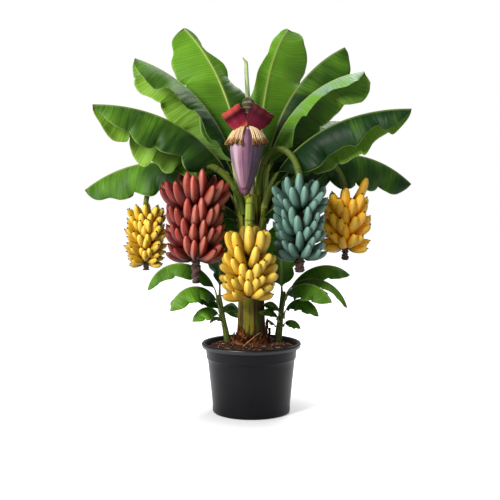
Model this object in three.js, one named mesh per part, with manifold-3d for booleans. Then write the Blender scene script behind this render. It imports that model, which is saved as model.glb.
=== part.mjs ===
// A potted banana plant: one thick stem with its crown of leaves, five bunches of fruit on arching
// stalks, a hanging blossom, and two suckers that grow from the same root.
// Millimetres and degrees. +Z is up, the pot stands on Z = 0 with its axis on Z, and the front is -Y.
import * as THREE from "three";
import { mergeVertices } from "three/addons/utils/BufferGeometryUtils.js";
import Module from "manifold-3d";

const wasm = await Module();
wasm.setup();

// ---- Driving dimensions -------------------------------------------------------------------------
const CLEARANCE = 0.3; // between neighbouring pieces
const SEATED = 0.45; // between a petiole or stalk and the stem's round side

const POT = {
  height: 212,
  rimRadius: 150,
  rimDepth: 16,
  shoulderRadius: 138, // outer wall just under the rim
  bandDepth: 46, // the wall steps in this far below the rim's top
  bandStep: 2.5,
  footRadius: 117,
  footBevel: 4,
  wall: 4,
  sides: 36,
};
const SOIL = { edgeDrop: 15, plateauRadius: 98 }; // heaped to the rim's height in the middle

const TRUNK = { top: 655, footRadius: 55, waistRadius: 44, topRadius: 35, sides: 24 };

// The suckers' stems, from the soil (x, y) to their tops.
const SUCKERS = {
  left: { foot: [-72, 10], head: [-98, 12], top: 352, footRadius: 9.5, topRadius: 6.5 },
  right: { foot: [81, 20], head: [97, 20], top: 362, footRadius: 11, topRadius: 7 },
};

// Every leaf springs from its stem at height z on the bearing from (0 is +X, 90 the back), heads
// towards az, starts at an elevation of rise degrees and has lost drop degrees at its tip. A bend
// below 1 puts most of that arch near the stem. roll turns the blade about its midrib, halves
// are the widths of its right and left halves, fold is how far they hang below flat, and wave is the
// lift of the rippled margins.
const CROWN_LEAVES = {
  leaf_high_left: {
    from: 130, z: 645, az: 143, rise: 88, drop: 49, bend: 1.24, length: 590, halves: [76, 112],
    roll: -34, fold: [14, 8], wave: 20, waves: 1.7, phase: 0.55,
  },
  leaf_high_right: {
    from: 56, z: 645, az: 58, rise: 88, drop: 53, bend: 2.1, length: 572, halves: [96, 62],
    roll: 54, fold: [8, 14], wave: 20, waves: 1.7, phase: 0.2,
  },
  leaf_upper_left: {
    from: 176, z: 638, az: 177, rise: 88, drop: 70, bend: 1.05, length: 556, halves: [120, 92],
    roll: 0, fold: [80, 32], wave: 16, waves: 1.7, phase: 0.3,
  },
  leaf_upper_right: {
    from: 4, z: 638, az: 5, rise: 88, drop: 81, bend: 1.24, length: 532, halves: [95, 120],
    roll: 0, fold: [34, 84], wave: 16, waves: 1.7, phase: 0.2,
  },
  leaf_middle_left: {
    from: 205, z: 615, az: 196, rise: 88, drop: 90, bend: 0.7, length: 572, halves: [122, 116],
    roll: 0, fold: [76, 70], wave: 15, waves: 2, phase: 0.6,
  },
  leaf_middle_right: {
    from: 338, z: 615, az: -16, rise: 88, drop: 90, bend: 0.66, length: 566, halves: [116, 112],
    roll: 0, fold: [70, 78], wave: 15, waves: 2, phase: 0.5,
  },
  leaf_low_left: {
    from: 155, z: 600, az: 163, rise: 88, drop: 124, bend: 0.55, length: 592, share: 0.28,
    halves: [90, 100], roll: 0, fold: [35, 70], wave: 10, waves: 2, phase: 0.2,
  },
  leaf_low_right: {
    from: 16, z: 600, az: 20, rise: 88, drop: 129, bend: 0.66, length: 602, share: 0.3,
    halves: [98, 90], roll: 0, fold: [80, 35], wave: 10, waves: 2, phase: 0.9,
  },
  leaf_tall_right: {
    from: 33, z: 622, az: 19.5, rise: 88, drop: 63, bend: 1.32, length: 580, halves: [104, 60],
    roll: 0, fold: [80, 84], wave: 8, waves: 1.5, phase: 0.7,
  },
  leaf_back_left: {
    from: 129, z: 606, az: 147, rise: 86, drop: 100, bend: 0.9, length: 560, halves: [95, 95],
    roll: 0, fold: [40, 40], wave: 10, waves: 2, phase: 0.1,
  },
  leaf_back: {
    from: 104, z: 625, az: 106, rise: 86, drop: 112, bend: 0.95, length: 560, halves: [98, 98],
    roll: 0, fold: [35, 35], wave: 10, waves: 2, phase: 0.4,
  },
  leaf_back_low: {
    from: 80, z: 612, az: 76, rise: 84, drop: 118, bend: 0.9, length: 560, halves: [98, 98],
    roll: 0, fold: [38, 38], wave: 10, waves: 2, phase: 0.5,
  },
  leaf_back_right: {
    from: 59, z: 602, az: 40, rise: 86, drop: 100, bend: 0.9, length: 560, halves: [95, 95],
    roll: 0, fold: [40, 40], wave: 10, waves: 2, phase: 0.8,
  },
};
const CROWN_SIZE = { share: 0.35, radius: 8, tipRadius: 4.5, thickness: 5.6, clear: 4.8 };

const SUCKER_LEAVES = {
  left: {
    long: {
      from: 178, z: 325, az: 176, rise: 88, drop: 168, bend: 1.15, length: 326, halves: [33, 33],
      fold: [20, 55], phase: 0.2,
    },
    near: {
      from: 228, z: 300, az: 209, rise: 85, drop: 168, bend: 1.1, length: 246, halves: [38, 38],
      fold: [30, 45], phase: 0.5,
    },
    far: {
      from: 140, z: 285, az: 146, rise: 85, drop: 141, bend: 1.1, length: 158, halves: [25, 25],
      fold: [40, 40], phase: 0.1,
    },
    low: {
      from: 196, z: 275, az: 211, rise: 85, drop: 165, bend: 1, length: 139, halves: [29, 29],
      fold: [35, 50], phase: 0.3,
    },
    tiny: {
      from: 240, z: 262, az: 215, rise: 84, drop: 168, bend: 1.3, length: 71, halves: [8, 8],
      fold: [50, 50], phase: 0,
    },
    inner: {
      from: 50, z: 300, az: 60, rise: 60, drop: 160, bend: 1, length: 125, halves: [31, 31],
      fold: [50, 30], phase: 0.4,
    },
    upright: {
      from: 90, z: 340, az: 70, rise: 88, drop: 30, bend: 2.2, length: 283, halves: [37, 37],
      fold: [25, 25], phase: 0.6,
    },
  },
  right: {
    upright: {
      from: 105, z: 345, az: 103, rise: 85, drop: 6, bend: 1, length: 222, halves: [36, 36],
      fold: [15, 15], phase: 0.2,
    },
    high: {
      from: 35, z: 335, az: 8, rise: 70, drop: 116, bend: 1.3, length: 258, halves: [36, 36],
      fold: [48, 30], phase: 0.4,
    },
    near: {
      from: 300, z: 320, az: -35, rise: 86, drop: 148, bend: 0.9, length: 224, halves: [39, 39],
      fold: [50, 30], phase: 0.1,
    },
    long: {
      from: -12, z: 345, az: -9, rise: 84, drop: 160, bend: 0.75, length: 255, halves: [25, 25],
      fold: [30, 40], phase: 0.8,
    },
    low: {
      from: -28, z: 280, az: -31, rise: 85, drop: 168, bend: 1.14, length: 180, halves: [29, 29],
      fold: [45, 35], phase: 0.5,
    },
    lowest: {
      from: -15, z: 255, az: -23, rise: 84, drop: 165, bend: 0.9, length: 80, halves: [18, 18],
      fold: [45, 35], phase: 0.3,
    },
    inner: {
      from: 248, z: 270, az: 233, rise: 64, drop: 108, bend: 1.5, length: 116, halves: [13, 24],
      fold: [35, 45], phase: 0.6,
    },
    small: {
      from: 190, z: 255, az: 195, rise: 61, drop: 40, bend: 1, length: 37, halves: [12, 12],
      fold: [30, 30], phase: 0,
    },
    dark: {
      from: 250, z: 290, az: 235, rise: 80, drop: 92, bend: 1, length: 95, halves: [21, 21],
      fold: [30, 45], phase: 0.2,
    },
  },
};
const SUCKER_SIZE = { share: 0.24, radius: 3, tipRadius: 2, thickness: 3.2, clear: 2 };

// The young leaf, still rolled up, that stands in the middle of the crown.
const ROLLED_LEAF = { foot: [2, 22], tip: [-13, 16], top: 1062, radius: 7.5 };

// A bunch hangs by its stalk at (x, y): its rachis starts at top and ends, bare, at tail. Rows of
// fingers, whose crowded bases make up the core, leave the rachis between the heights rows[0] and
// rows[1]. From the top row to the bottom one the elevation they start at goes from rise[0] to
// rise[1], and at their tips from rise[2] to rise[3].
const BUNCHES = {
  red: {
    finish: "red", at: [-163, -60], top: 690, tail: 397, rachis: 10, rows: [634, 486], count: 5,
    around: 8, length: [122, 104], girth: 14, core: 44, rise: [4, -22, 84, 55],
  },
  blue: {
    finish: "blue", at: [141, -84], top: 690, tail: 432, rachis: 11, rows: [640, 504], count: 5,
    around: 8, length: [98, 88], girth: 13.5, core: 40, rise: [2, -20, 84, 50],
  },
  yellow_middle: {
    finish: "yellow", at: [-8, -150], top: 560, tail: 338, rachis: 11, rows: [506, 366], count: 5,
    around: 8, length: [96, 80], girth: 13.5, core: 40, rise: [2, -12, 80, 14],
  },
  yellow_right: {
    finish: "amber", at: [286, 52], top: 625, tail: 455, rachis: 8.5, rows: [590, 504], count: 4,
    around: 8, length: [92, 82], girth: 12.5, core: 34, rise: [5, -18, 74, 24],
  },
  yellow_left: {
    finish: "yellow", at: [-324, 81], top: 606, tail: 421, rachis: 8, rows: [574, 458], count: 5,
    around: 8, length: [76, 66], girth: 11.5, core: 30, rise: [2, -18, 76, 22],
  },
};

// The stalks, each from its foot on the trunk, over its highest point, to the top of its bunch. lead
// is how far it heads up and out at its foot, and fall how far it drops at its end.
const STALKS = {
  red: { bearing: 236, z: 598, lead: [-22, 0, 138], fall: 98, radius: [8.5, 10.5] },
  blue: { foot: [24, -8, 655], lead: [0, 0, 195], fall: 118, radius: [8.5, 10.5] },
  yellow_middle: { bearing: 270, z: 585, lead: [0, -25, 70], fall: 115, radius: [9.5, 11] },
  yellow_right: { bearing: 2, z: 570, lead: [60, 5, 160], fall: 225, radius: [7.5, 8.5] },
  yellow_left: { bearing: 172, z: 562, lead: [-60, 70, 145], fall: 190, radius: [7.5, 8] },
};

// Dry sheaths that stand against the foot of the trunk on the given bearing. span is half their
// width in degrees and splay how far they lean out at the top.
const DRY_SHEATHS = {
  left: { bearing: 232, span: 30, height: 60, splay: 11 },
  right: { bearing: -24, span: 8, height: 78, splay: 7 },
};

const BLOSSOM = {
  foot: [2, -8],
  neck: [-12, -95],
  neckHeight: 852,
  budTip: [-19, -95],
  budTipHeight: 655,
  budRadius: 49,
  stalkRadius: [9, 18],
  stalkLead: [0, 8, 255],
  stalkFall: 150,
  bractLength: 84,
  bractWidth: 74,
  flowers: 6,
};

// Where along a blade its cross-sections stand.
const BLADE_STATIONS = [0.04, 0.13, 0.27, 0.42, 0.57, 0.72, 0.86, 0.96, 1];
const SMALL_BLADE_STATIONS = [0.08, 0.3, 0.55, 0.8, 0.94, 1];

const parts = new THREE.Group();

// ---- Shared helpers -----------------------------------------------------------------------------
const lerp = THREE.MathUtils.lerp;
const rad = THREE.MathUtils.degToRad;
const smooth = THREE.MathUtils.smoothstep;

const FINISH = {
  pot: { color: 0x24242a, roughness: 0.45, metalness: 0 },
  soil: { color: 0x3b2317, roughness: 1, metalness: 0 },
  trunk: { color: 0x75762f, roughness: 0.6, metalness: 0 },
  sheath: { color: 0x6e4a2b, roughness: 0.9, metalness: 0 },
  stalk: { color: 0x86a63c, roughness: 0.5, metalness: 0 },
  leaf: { color: 0x3f8a24, roughness: 0.4, metalness: 0 },
  youngLeaf: { color: 0xa8c77c, roughness: 0.5, metalness: 0 },
  red: { color: 0x9c2f33, roughness: 0.45, metalness: 0 },
  yellow: { color: 0xf0b92b, roughness: 0.5, metalness: 0 },
  amber: { color: 0xdb941b, roughness: 0.5, metalness: 0 },
  blue: { color: 0x6c9c8e, roughness: 0.6, metalness: 0 },
  bud: { color: 0x7d5a75, roughness: 0.55, metalness: 0 },
  bract: { color: 0x9c2036, roughness: 0.45, metalness: 0 },
  flower: { color: 0xe6bb74, roughness: 0.6, metalness: 0 },
  scarred: { color: 0x4d4a2f, roughness: 0.8, metalness: 0 },
};

function add(name, finish, geometry) {
  const mesh = new THREE.Mesh(geometry, new THREE.MeshStandardMaterial(FINISH[finish]));
  mesh.name = name;
  parts.add(mesh);
  return mesh;
}

// The geometry with its shared vertices merged, so that it is one closed surface.
function closed(geometry) {
  geometry.deleteAttribute("normal");
  geometry.deleteAttribute("uv");
  return mergeVertices(geometry, 1e-4);
}

function toSolid(geometry) {
  const merged = closed(geometry);
  return new wasm.Manifold(
    new wasm.Mesh({
      numProp: 3,
      vertProperties: new Float32Array(merged.attributes.position.array),
      triVerts: new Uint32Array(merged.index.array),
    }),
  );
}

function toGeometry(solid) {
  const mesh = solid.getMesh();
  return new THREE.BufferGeometry()
    .setAttribute("position", new THREE.BufferAttribute(mesh.vertProperties, 3))
    .setIndex(new THREE.BufferAttribute(mesh.triVerts, 1));
}

function fuse(geometries) {
  return toGeometry(geometries.map(toSolid).reduce((whole, piece) => whole.add(piece)));
}

// A stock that runs along +Z from 0 to 1, with its section in X and Y from -1 to 1.
const roundStock = (sides, steps) =>
  new THREE.CylinderGeometry(1, 1, 1, sides, steps).rotateX(Math.PI / 2).translate(0, 0, 0.5);

// The same with a point at its far end instead of a flat face.
function pointedStock(sides, steps) {
  const stock = new THREE.ConeGeometry(1, 1, sides, steps).rotateX(Math.PI / 2).translate(0, 0, 0.5);
  const position = stock.attributes.position;
  for (let i = 0; i < position.count; i++) {
    const [x, y, z] = [position.getX(i), position.getY(i), position.getZ(i)];
    const grow = z < 1 - 1e-6 ? 1 / (1 - z) : 0;
    position.setXYZ(i, x * grow, y * grow, z);
  }
  return stock;
}

const sheetStock = (columns, steps) =>
  new THREE.BoxGeometry(2, 2, 1, columns, 1, steps).translate(0, 0, 0.5);

// Sweeps a stock along a path. frameAt(t) gives the point and the side and up directions there, and
// section(t, x, y) gives the two offsets along them. stations, if given, replaces the even spacing.
function sweep(stock, frameAt, section, stations) {
  const position = stock.attributes.position;
  for (let i = 0; i < position.count; i++) {
    const z = position.getZ(i);
    const t = stations ? stations[Math.round(z * (stations.length - 1))] : z;
    const { point, side, up } = frameAt(t);
    const [a, b] = section(t, position.getX(i), position.getY(i));
    const moved = point.clone().addScaledVector(side, a).addScaledVector(up, b);
    position.setXYZ(i, moved.x, moved.y, moved.z);
  }
  return stock;
}

// A path of given length on the bearing az, whose elevation falls from rise by drop.
function bendingPath({ start, az, rise, drop, length, bend }) {
  const steps = 48;
  const points = [start.clone()];
  const side = new THREE.Vector3(-Math.sin(rad(az)), Math.cos(rad(az)), 0);
  const direction = (t) => {
    const elevation = rad(rise - drop * t ** bend);
    return new THREE.Vector3(
      Math.cos(elevation) * Math.cos(rad(az)),
      Math.cos(elevation) * Math.sin(rad(az)),
      Math.sin(elevation),
    );
  };
  for (let i = 0; i < steps; i++) {
    const step = direction((i + 0.5) / steps).multiplyScalar(length / steps);
    points.push(points[i].clone().add(step));
  }
  return (t) => {
    const i = Math.min(Math.floor(t * steps), steps - 1);
    const point = points[i].clone().lerp(points[i + 1], t * steps - i);
    return { point, side, up: direction(t).cross(side) };
  };
}

// Turns a frame's side and up about its path.
function rolled(frame, degrees) {
  const { side, up } = frame;
  const c = Math.cos(rad(degrees));
  const s = Math.sin(rad(degrees));
  return {
    ...frame,
    side: side.clone().multiplyScalar(c).addScaledVector(up, s),
    up: up.clone().multiplyScalar(c).addScaledVector(side, -s),
  };
}

// An arch that leaves its start along lead and comes down upright on its end.
function archPath(start, end, lead, fall) {
  const curve = new THREE.CubicBezierCurve3(
    start,
    start.clone().add(lead),
    end.clone().add(new THREE.Vector3(0, 0, fall)),
    end,
  );
  const side = new THREE.Vector3(start.y - end.y, end.x - start.x, 0).normalize();
  const frameAt = (t) => ({ point: curve.getPointAt(t), side, up: curve.getTangentAt(t).cross(side) });
  return { frameAt, curve };
}

const plumb = (x, y, from, to) => (t) => ({
  point: new THREE.Vector3(x, y, lerp(from, to, t)),
  side: new THREE.Vector3(1, 0, 0),
  up: new THREE.Vector3(0, to > from ? 1 : -1, 0),
});

const roundSection = (radius) => (t, x, y) => [radius(t) * x, radius(t) * y];

// ---- Pot and soil -------------------------------------------------------------------------------
function lathe(profile, sides) {
  const points = profile.map(([r, z]) => new THREE.Vector2(r, z));
  return new THREE.LatheGeometry(points, sides).rotateX(Math.PI / 2);
}

const wallRadius = (z) => lerp(POT.footRadius, POT.shoulderRadius, z / (POT.height - POT.rimDepth));
const innerFootRadius = POT.footRadius - POT.wall - POT.bandStep;

function pot() {
  const { height, footRadius, footBevel, rimRadius, rimDepth, bandDepth, bandStep, wall } = POT;
  const underRim = height - rimDepth;
  const band = height - bandDepth;
  return lathe(
    [
      [0, 0],
      [footRadius - footBevel, 0],
      [footRadius, footBevel],
      [wallRadius(band - 4) - bandStep, band - 4],
      [wallRadius(band), band],
      [wallRadius(underRim), underRim],
      [rimRadius - 2, underRim + 1],
      [rimRadius, underRim + 7],
      [rimRadius - 4, height],
      [rimRadius - 9, height],
      [wallRadius(underRim) - wall, underRim],
      [innerFootRadius, wall],
      [0, wall],
    ],
    POT.sides,
  );
}

const soilTop = POT.height;

function soil() {
  const { height, rimDepth, wall } = POT;
  const level = height - SOIL.edgeDrop;
  const underRim = height - rimDepth;
  const innerShoulder = wallRadius(underRim) - wall;
  const inner = (z) => lerp(innerFootRadius, innerShoulder, (z - wall) / (underRim - wall));
  const floor = wall + CLEARANCE;
  return lathe(
    [
      [0, floor],
      [inner(floor) - 2 * CLEARANCE, floor],
      [inner(level - 2) - 2 * CLEARANCE, level - 2],
      [SOIL.plateauRadius, soilTop],
      [0, soilTop],
    ],
    POT.sides,
  );
}

// ---- Stems --------------------------------------------------------------------------------------
const trunkRadius = (z) => {
  const above = z - soilTop;
  const flare = (TRUNK.footRadius - TRUNK.waistRadius) * Math.exp(-above / 22);
  return lerp(TRUNK.waistRadius, TRUNK.topRadius, above / (TRUNK.top - soilTop)) + flare;
};

function trunk() {
  const from = soilTop + CLEARANCE;
  const stations = [0, 0.03, 0.08, 0.2, 0.45, 0.75, 1];
  const radius = (t) => trunkRadius(lerp(from, TRUNK.top, t));
  const stock = roundStock(TRUNK.sides, stations.length - 1);
  return sweep(stock, plumb(0, 0, from, TRUNK.top), roundSection(radius), stations);
}

function drySheath({ bearing, span, height, splay }) {
  const from = soilTop + CLEARANCE;
  const section = (t, u, v) => {
    const r = trunkRadius(lerp(from, from + height, t)) + 2.5 + splay * t * t + 1.5 * v;
    const angle = rad(bearing - span * u * (1 - 0.65 * t * t));
    return [r * Math.cos(angle), r * Math.sin(angle)];
  };
  return sweep(sheetStock(4, 4), plumb(0, 0, from, from + height), section);
}

// ---- Leaves -------------------------------------------------------------------------------------
// The outline of a blade: rounded at the base, nearly parallel, blunt at the tip.
function halfWidth(b, width) {
  const bluntness = b < 0.5 ? 2.6 : 3.4;
  return Math.max(width * (1 - Math.abs(2 * b - 1) ** bluntness) ** 0.5, 2);
}

function leaf(spec, start, size, stations, columns) {
  const { halves, fold, wave = 3, waves = 1.5, phase, roll = 0, share = size.share } = spec;
  const path = bendingPath({ ...spec, start });
  const bladeShare = (t) => Math.max(0, (t - share) / (1 - share));
  const frameAt = (t) => rolled(path(t), roll * smooth(bladeShare(t), 0, 0.3));
  const section = (t, u, v) => {
    const b = bladeShare(t);
    const r = lerp(size.radius, size.tipRadius, Math.min(t / share, 1));
    // The petiole is a channel, open on its upper side.
    const stem = [r * u, v > 0 ? r * (0.7 * u * u - 0.25) : -r * (1 - 0.9 * u * u)];
    // Each half of the blade hangs more steeply towards its margin.
    const side = Math.sign(u);
    const reach = Math.abs(u);
    const hang = rad(fold[u < 0 ? 0 : 1]);
    const chord = hang * (0.6 + 0.4 * reach);
    const slope = side * hang * (0.6 + 0.8 * reach);
    const half = halfWidth(b, halves[u < 0 ? 0 : 1]) * reach;
    const turn = 2 * Math.PI * (waves * b + phase + (u < 0 ? 0.35 : 0));
    const ripple = wave * reach ** 2 * Math.sin(turn) * smooth(b, 0, 0.2) * smooth(1 - b, 0, 0.15);
    const offset = ripple + (v * size.thickness) / 2;
    const rib = v < 0 && u === 0 ? lerp(size.tipRadius, 0.5, b) : 0;
    const blade = [
      side * half * Math.cos(chord) + offset * Math.sin(slope),
      -half * Math.sin(chord) + offset * Math.cos(slope) - rib,
    ];
    const k = smooth(b, 0, 0.12);
    return [lerp(stem[0], blade[0], k), lerp(stem[1], blade[1], k)];
  };
  const all = [0, share / 2, share, ...stations.map((b) => lerp(share, 1, b))];
  return sweep(sheetStock(columns, all.length - 1), frameAt, section, all);
}

// The move along its bearing that brings a piece whose foot stands beside a round stem up to that
// stem. axisAt(z) and radiusAt(z) describe the stem.
function seatingMove(geometry, bearing, axisAt, radiusAt) {
  const { index, attributes } = geometry;
  const corner = (i) => new THREE.Vector3().fromBufferAttribute(attributes.position, index.getX(i));
  let gap = Infinity;
  for (let i = 0; i < index.count; i++) {
    const from = corner(i);
    const to = corner(i % 3 === 2 ? i - 2 : i + 1);
    for (let k = 0; k < 4; k++) {
      const point = from.clone().lerp(to, k / 4);
      const axis = axisAt(point.z);
      gap = Math.min(gap, Math.hypot(point.x - axis.x, point.y - axis.y) - radiusAt(point.z));
    }
  }
  const move = SEATED - gap;
  return [move * Math.cos(rad(bearing)), move * Math.sin(rad(bearing)), 0];
}

function trunkSeatingMove(geometry, bearing) {
  const radiusAt = (z) => (z > TRUNK.top ? 0 : trunkRadius(z));
  return seatingMove(geometry, bearing, () => new THREE.Vector3(), radiusAt);
}

// The point at height z on the bearing, clear of the trunk's side.
function besideTrunk(bearing, z, clear) {
  const r = trunkRadius(z) + clear;
  return new THREE.Vector3(r * Math.cos(rad(bearing)), r * Math.sin(rad(bearing)), z);
}

function suckerPath({ foot, head, top }) {
  const from = new THREE.Vector3(foot[0], foot[1], soilTop + CLEARANCE);
  const to = new THREE.Vector3(head[0], head[1], top);
  return (t) => ({
    point: from.clone().lerp(to, t),
    side: new THREE.Vector3(1, 0, 0),
    up: new THREE.Vector3(0, 1, 0),
  });
}

const suckerRadius = ({ footRadius, topRadius }) => (t) => lerp(footRadius, topRadius, t);

function sucker(spec) {
  return sweep(roundStock(12, 2), suckerPath(spec), roundSection(suckerRadius(spec)));
}

function suckerSeatingMove(geometry, bearing, spec) {
  const share = (z) => (z - soilTop) / (spec.top - soilTop);
  const axisAt = (z) => suckerPath(spec)(share(z)).point;
  const radiusAt = (z) => (z > spec.top ? 0 : suckerRadius(spec)(share(z)));
  return seatingMove(geometry, bearing, axisAt, radiusAt);
}

function besideSucker(spec, bearing, z, clear) {
  const t = (z - soilTop) / (spec.top - soilTop);
  const r = suckerRadius(spec)(t) + clear;
  return suckerPath(spec)(t).point.add(
    new THREE.Vector3(r * Math.cos(rad(bearing)), r * Math.sin(rad(bearing)), 0),
  );
}

function rolledLeaf() {
  const { foot, tip, top, radius } = ROLLED_LEAF;
  const from = new THREE.Vector3(foot[0], foot[1], TRUNK.top + CLEARANCE);
  const to = new THREE.Vector3(tip[0], tip[1], top);
  const frameAt = (t) => ({
    point: from.clone().lerp(to, t),
    side: new THREE.Vector3(1, 0, 0),
    up: new THREE.Vector3(0, 1, 0),
  });
  const girth = (t) => radius * (t < 0.65 ? lerp(0.8, 1, t / 0.65) : lerp(1, 0.55, (t - 0.65) / 0.35));
  return sweep(roundStock(8, 4), frameAt, roundSection(girth), [0, 0.35, 0.65, 0.9, 1]);
}

// ---- Fruit --------------------------------------------------------------------------------------
// A banana: slender where it joins, full along its length, blunt at the tip.
function finger(start, az, rise, drop, length, girth) {
  const path = bendingPath({ start, az, rise, drop, length, bend: 0.8 });
  const radius = (t) => girth * (t < 0.1 ? 0.5 : t < 0.6 ? 1 : 0.8);
  return sweep(pointedStock(5, 3), path, roundSection(radius), [0, 0.3, 0.86, 1]);
}

function bunch(spec) {
  const { at, top, tail, rachis, rows, count, around, length, girth, rise } = spec;
  const [x, y] = at;
  const bare = (t) => rachis * lerp(1, 0.8, t);
  const full = (t) => spec.core * (t < 0.1 ? 0.4 : t < 0.9 ? 1 : 0.5);
  const coreAt = plumb(x, y, rows[0] + 28, rows[1] - 12);
  const pieces = [
    sweep(roundStock(8, 1), plumb(x, y, top - CLEARANCE, tail), roundSection(bare)),
    sweep(roundStock(8, 3), coreAt, roundSection(full), [0, 0.3, 0.8, 1]),
  ];
  for (let row = 0; row < count; row++) {
    const k = row / (count - 1);
    const z = lerp(rows[0], rows[1], k);
    for (let i = 0; i < around; i++) {
      const az = (360 * (i + (row % 2) / 2)) / around - 90;
      const root = rachis * 0.45;
      const start = new THREE.Vector3(x + root * Math.cos(rad(az)), y + root * Math.sin(rad(az)), z);
      const [first, last] = [lerp(rise[0], rise[1], k), lerp(rise[2], rise[3], k ** 1.6)];
      pieces.push(finger(start, az, first, first - last, lerp(length[0], length[1], k), girth));
    }
  }
  return fuse(pieces);
}

// A stalk in two pieces that meet at its highest point: the one that rises and the one that hangs.
function stalkPieces(spec, end) {
  const foot = spec.foot
    ? new THREE.Vector3(spec.foot[0], spec.foot[1], spec.foot[2] + CLEARANCE)
    : besideTrunk(spec.bearing, spec.z, spec.radius[0] + 0.5);
  const { frameAt, curve } = archPath(foot, end, new THREE.Vector3(...spec.lead), spec.fall);
  const crest = crestOf(curve);
  const gap = CLEARANCE / curve.getLength();
  const piece = (from, to, steps) => {
    const share = (t) => lerp(from, to, t);
    const radius = (t) => lerp(spec.radius[0], spec.radius[1], share(t));
    return sweep(roundStock(8, steps), (t) => frameAt(share(t)), roundSection(radius));
  };
  const rising = piece(0, crest - gap / 2, 5);
  const hanging = piece(crest + gap / 2, 1, 4);
  if (spec.foot) return { rising, hanging };
  const move = trunkSeatingMove(rising, spec.bearing);
  return { rising: rising.translate(...move), hanging: hanging.translate(...move) };
}

// How far along a curve its highest point lies, as a share of its length.
function crestOf(curve) {
  const steps = 200;
  const shares = Array.from({ length: steps + 1 }, (_, i) => i / steps);
  return shares.reduce((best, t) => (curve.getPointAt(t).z > curve.getPointAt(best).z ? t : best));
}

// ---- Blossom ------------------------------------------------------------------------------------
function blossomStalk() {
  const { foot, neck, neckHeight, stalkRadius, stalkLead, stalkFall } = BLOSSOM;
  const from = new THREE.Vector3(foot[0], foot[1], TRUNK.top + CLEARANCE);
  const to = new THREE.Vector3(neck[0], neck[1], neckHeight);
  const { frameAt } = archPath(from, to, new THREE.Vector3(...stalkLead), stalkFall);
  const radius = (t) => lerp(stalkRadius[0], stalkRadius[1], smooth(t, 0.1, 0.7));
  return sweep(roundStock(10, 10), frameAt, roundSection(radius));
}

function bud() {
  const { neck, neckHeight, budTip, budTipHeight, budRadius } = BLOSSOM;
  const from = new THREE.Vector3(neck[0], neck[1], neckHeight - CLEARANCE);
  const to = new THREE.Vector3(budTip[0], budTip[1], budTipHeight);
  const frameAt = (t) => ({
    point: from.clone().lerp(to, t),
    side: new THREE.Vector3(1, 0, 0),
    up: new THREE.Vector3(0, -1, 0),
  });
  const girth = { 0: 0.32, 0.12: 0.62, 0.25: 0.92, 0.42: 1, 0.6: 0.93, 0.76: 0.68, 0.9: 0.32, 1: 0 };
  const stations = Object.keys(girth).map(Number).sort((a, b) => a - b);
  const radius = (t) => budRadius * girth[t];
  return sweep(pointedStock(12, stations.length - 1), frameAt, roundSection(radius), stations);
}

// An opened bract: it leaves the neck of the bud, lifts, and rolls back at its end.
function bract(direction) {
  const { neck, neckHeight, bractLength, bractWidth } = BLOSSOM;
  const out = new THREE.Vector3(direction * 0.72, 0, 0.69);
  const side = new THREE.Vector3(-direction * 0.69, 0, 0.72);
  const near = new THREE.Vector3(0, -1, 0);
  const root = new THREE.Vector3(neck[0] + 0.4 + direction * 16.4, neck[1] - 16.4, neckHeight + 8);
  const place = (along, towards) =>
    root.clone().addScaledVector(out, along * bractLength).addScaledVector(near, towards * bractLength);
  const curve = new THREE.CubicBezierCurve3(root, place(0.5, 0.35), place(1.15, 0.25), place(0.85, -0.3));
  const frameAt = (t) => {
    const along = curve.getTangentAt(t);
    return { point: curve.getPointAt(t), side, up: along.clone().cross(side) };
  };
  const section = (t, u, v) => {
    const half = (bractWidth / 2) * lerp(0.35, 1, smooth(t, 0, 0.45)) * (t > 0.9 ? 0.8 : 1);
    return [half * u, direction * 12 * u * u * smooth(t, 0, 0.4) + 1.8 * v];
  };
  return sweep(sheetStock(4, 6), frameAt, section);
}

function flowers(direction) {
  const { neck, neckHeight, flowers: count } = BLOSSOM;
  const tubes = [];
  for (let i = 0; i < count; i++) {
    const k = i / (count - 1);
    const az = direction > 0 ? lerp(-62, -8, k) : lerp(-118, -172, k);
    const start = new THREE.Vector3(
      neck[0] + 24.4 * Math.cos(rad(az)),
      neck[1] + 24.4 * Math.sin(rad(az)),
      neckHeight - 9,
    );
    tubes.push(finger(start, az, -10, 50, 52, 6.5));
  }
  return fuse(tubes);
}

// ---- Assembly -----------------------------------------------------------------------------------
add("pot", "pot", pot());
add("soil", "soil", soil());
add("trunk", "trunk", trunk());
for (const [which, spec] of Object.entries(DRY_SHEATHS)) {
  add(`dry_sheath_${which}`, "sheath", drySheath(spec));
}

for (const [name, spec] of Object.entries(CROWN_LEAVES)) {
  const start = besideTrunk(spec.from, spec.z, CROWN_SIZE.clear);
  const blade = leaf(spec, start, CROWN_SIZE, BLADE_STATIONS, 4);
  add(name, "leaf", blade.translate(...trunkSeatingMove(blade, spec.from)));
}
add("leaf_rolled", "youngLeaf", rolledLeaf());

for (const [which, stem] of Object.entries(SUCKERS)) {
  add(`sucker_${which}`, "trunk", sucker(stem));
  for (const [name, spec] of Object.entries(SUCKER_LEAVES[which])) {
    const start = besideSucker(stem, spec.from, spec.z, SUCKER_SIZE.clear);
    const blade = leaf(spec, start, SUCKER_SIZE, SMALL_BLADE_STATIONS, 2);
    blade.translate(...suckerSeatingMove(blade, spec.from, stem));
    add(`sucker_${which}_leaf_${name}`, "leaf", blade);
  }
}

for (const [name, spec] of Object.entries(BUNCHES)) {
  add(`bunch_${name}`, spec.finish, bunch(spec));
  const end = new THREE.Vector3(spec.at[0], spec.at[1], spec.top);
  for (const [half, geometry] of Object.entries(stalkPieces(STALKS[name], end))) {
    add(`stalk_${name}_${half}`, "stalk", geometry);
  }
}

add("blossom_stalk", "scarred", blossomStalk());
add("blossom_bud", "bud", bud());
add("bract_left", "bract", bract(-1));
add("bract_right", "bract", bract(1));
add("flowers_left", "flower", flowers(-1));
add("flowers_right", "flower", flowers(1));

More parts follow.
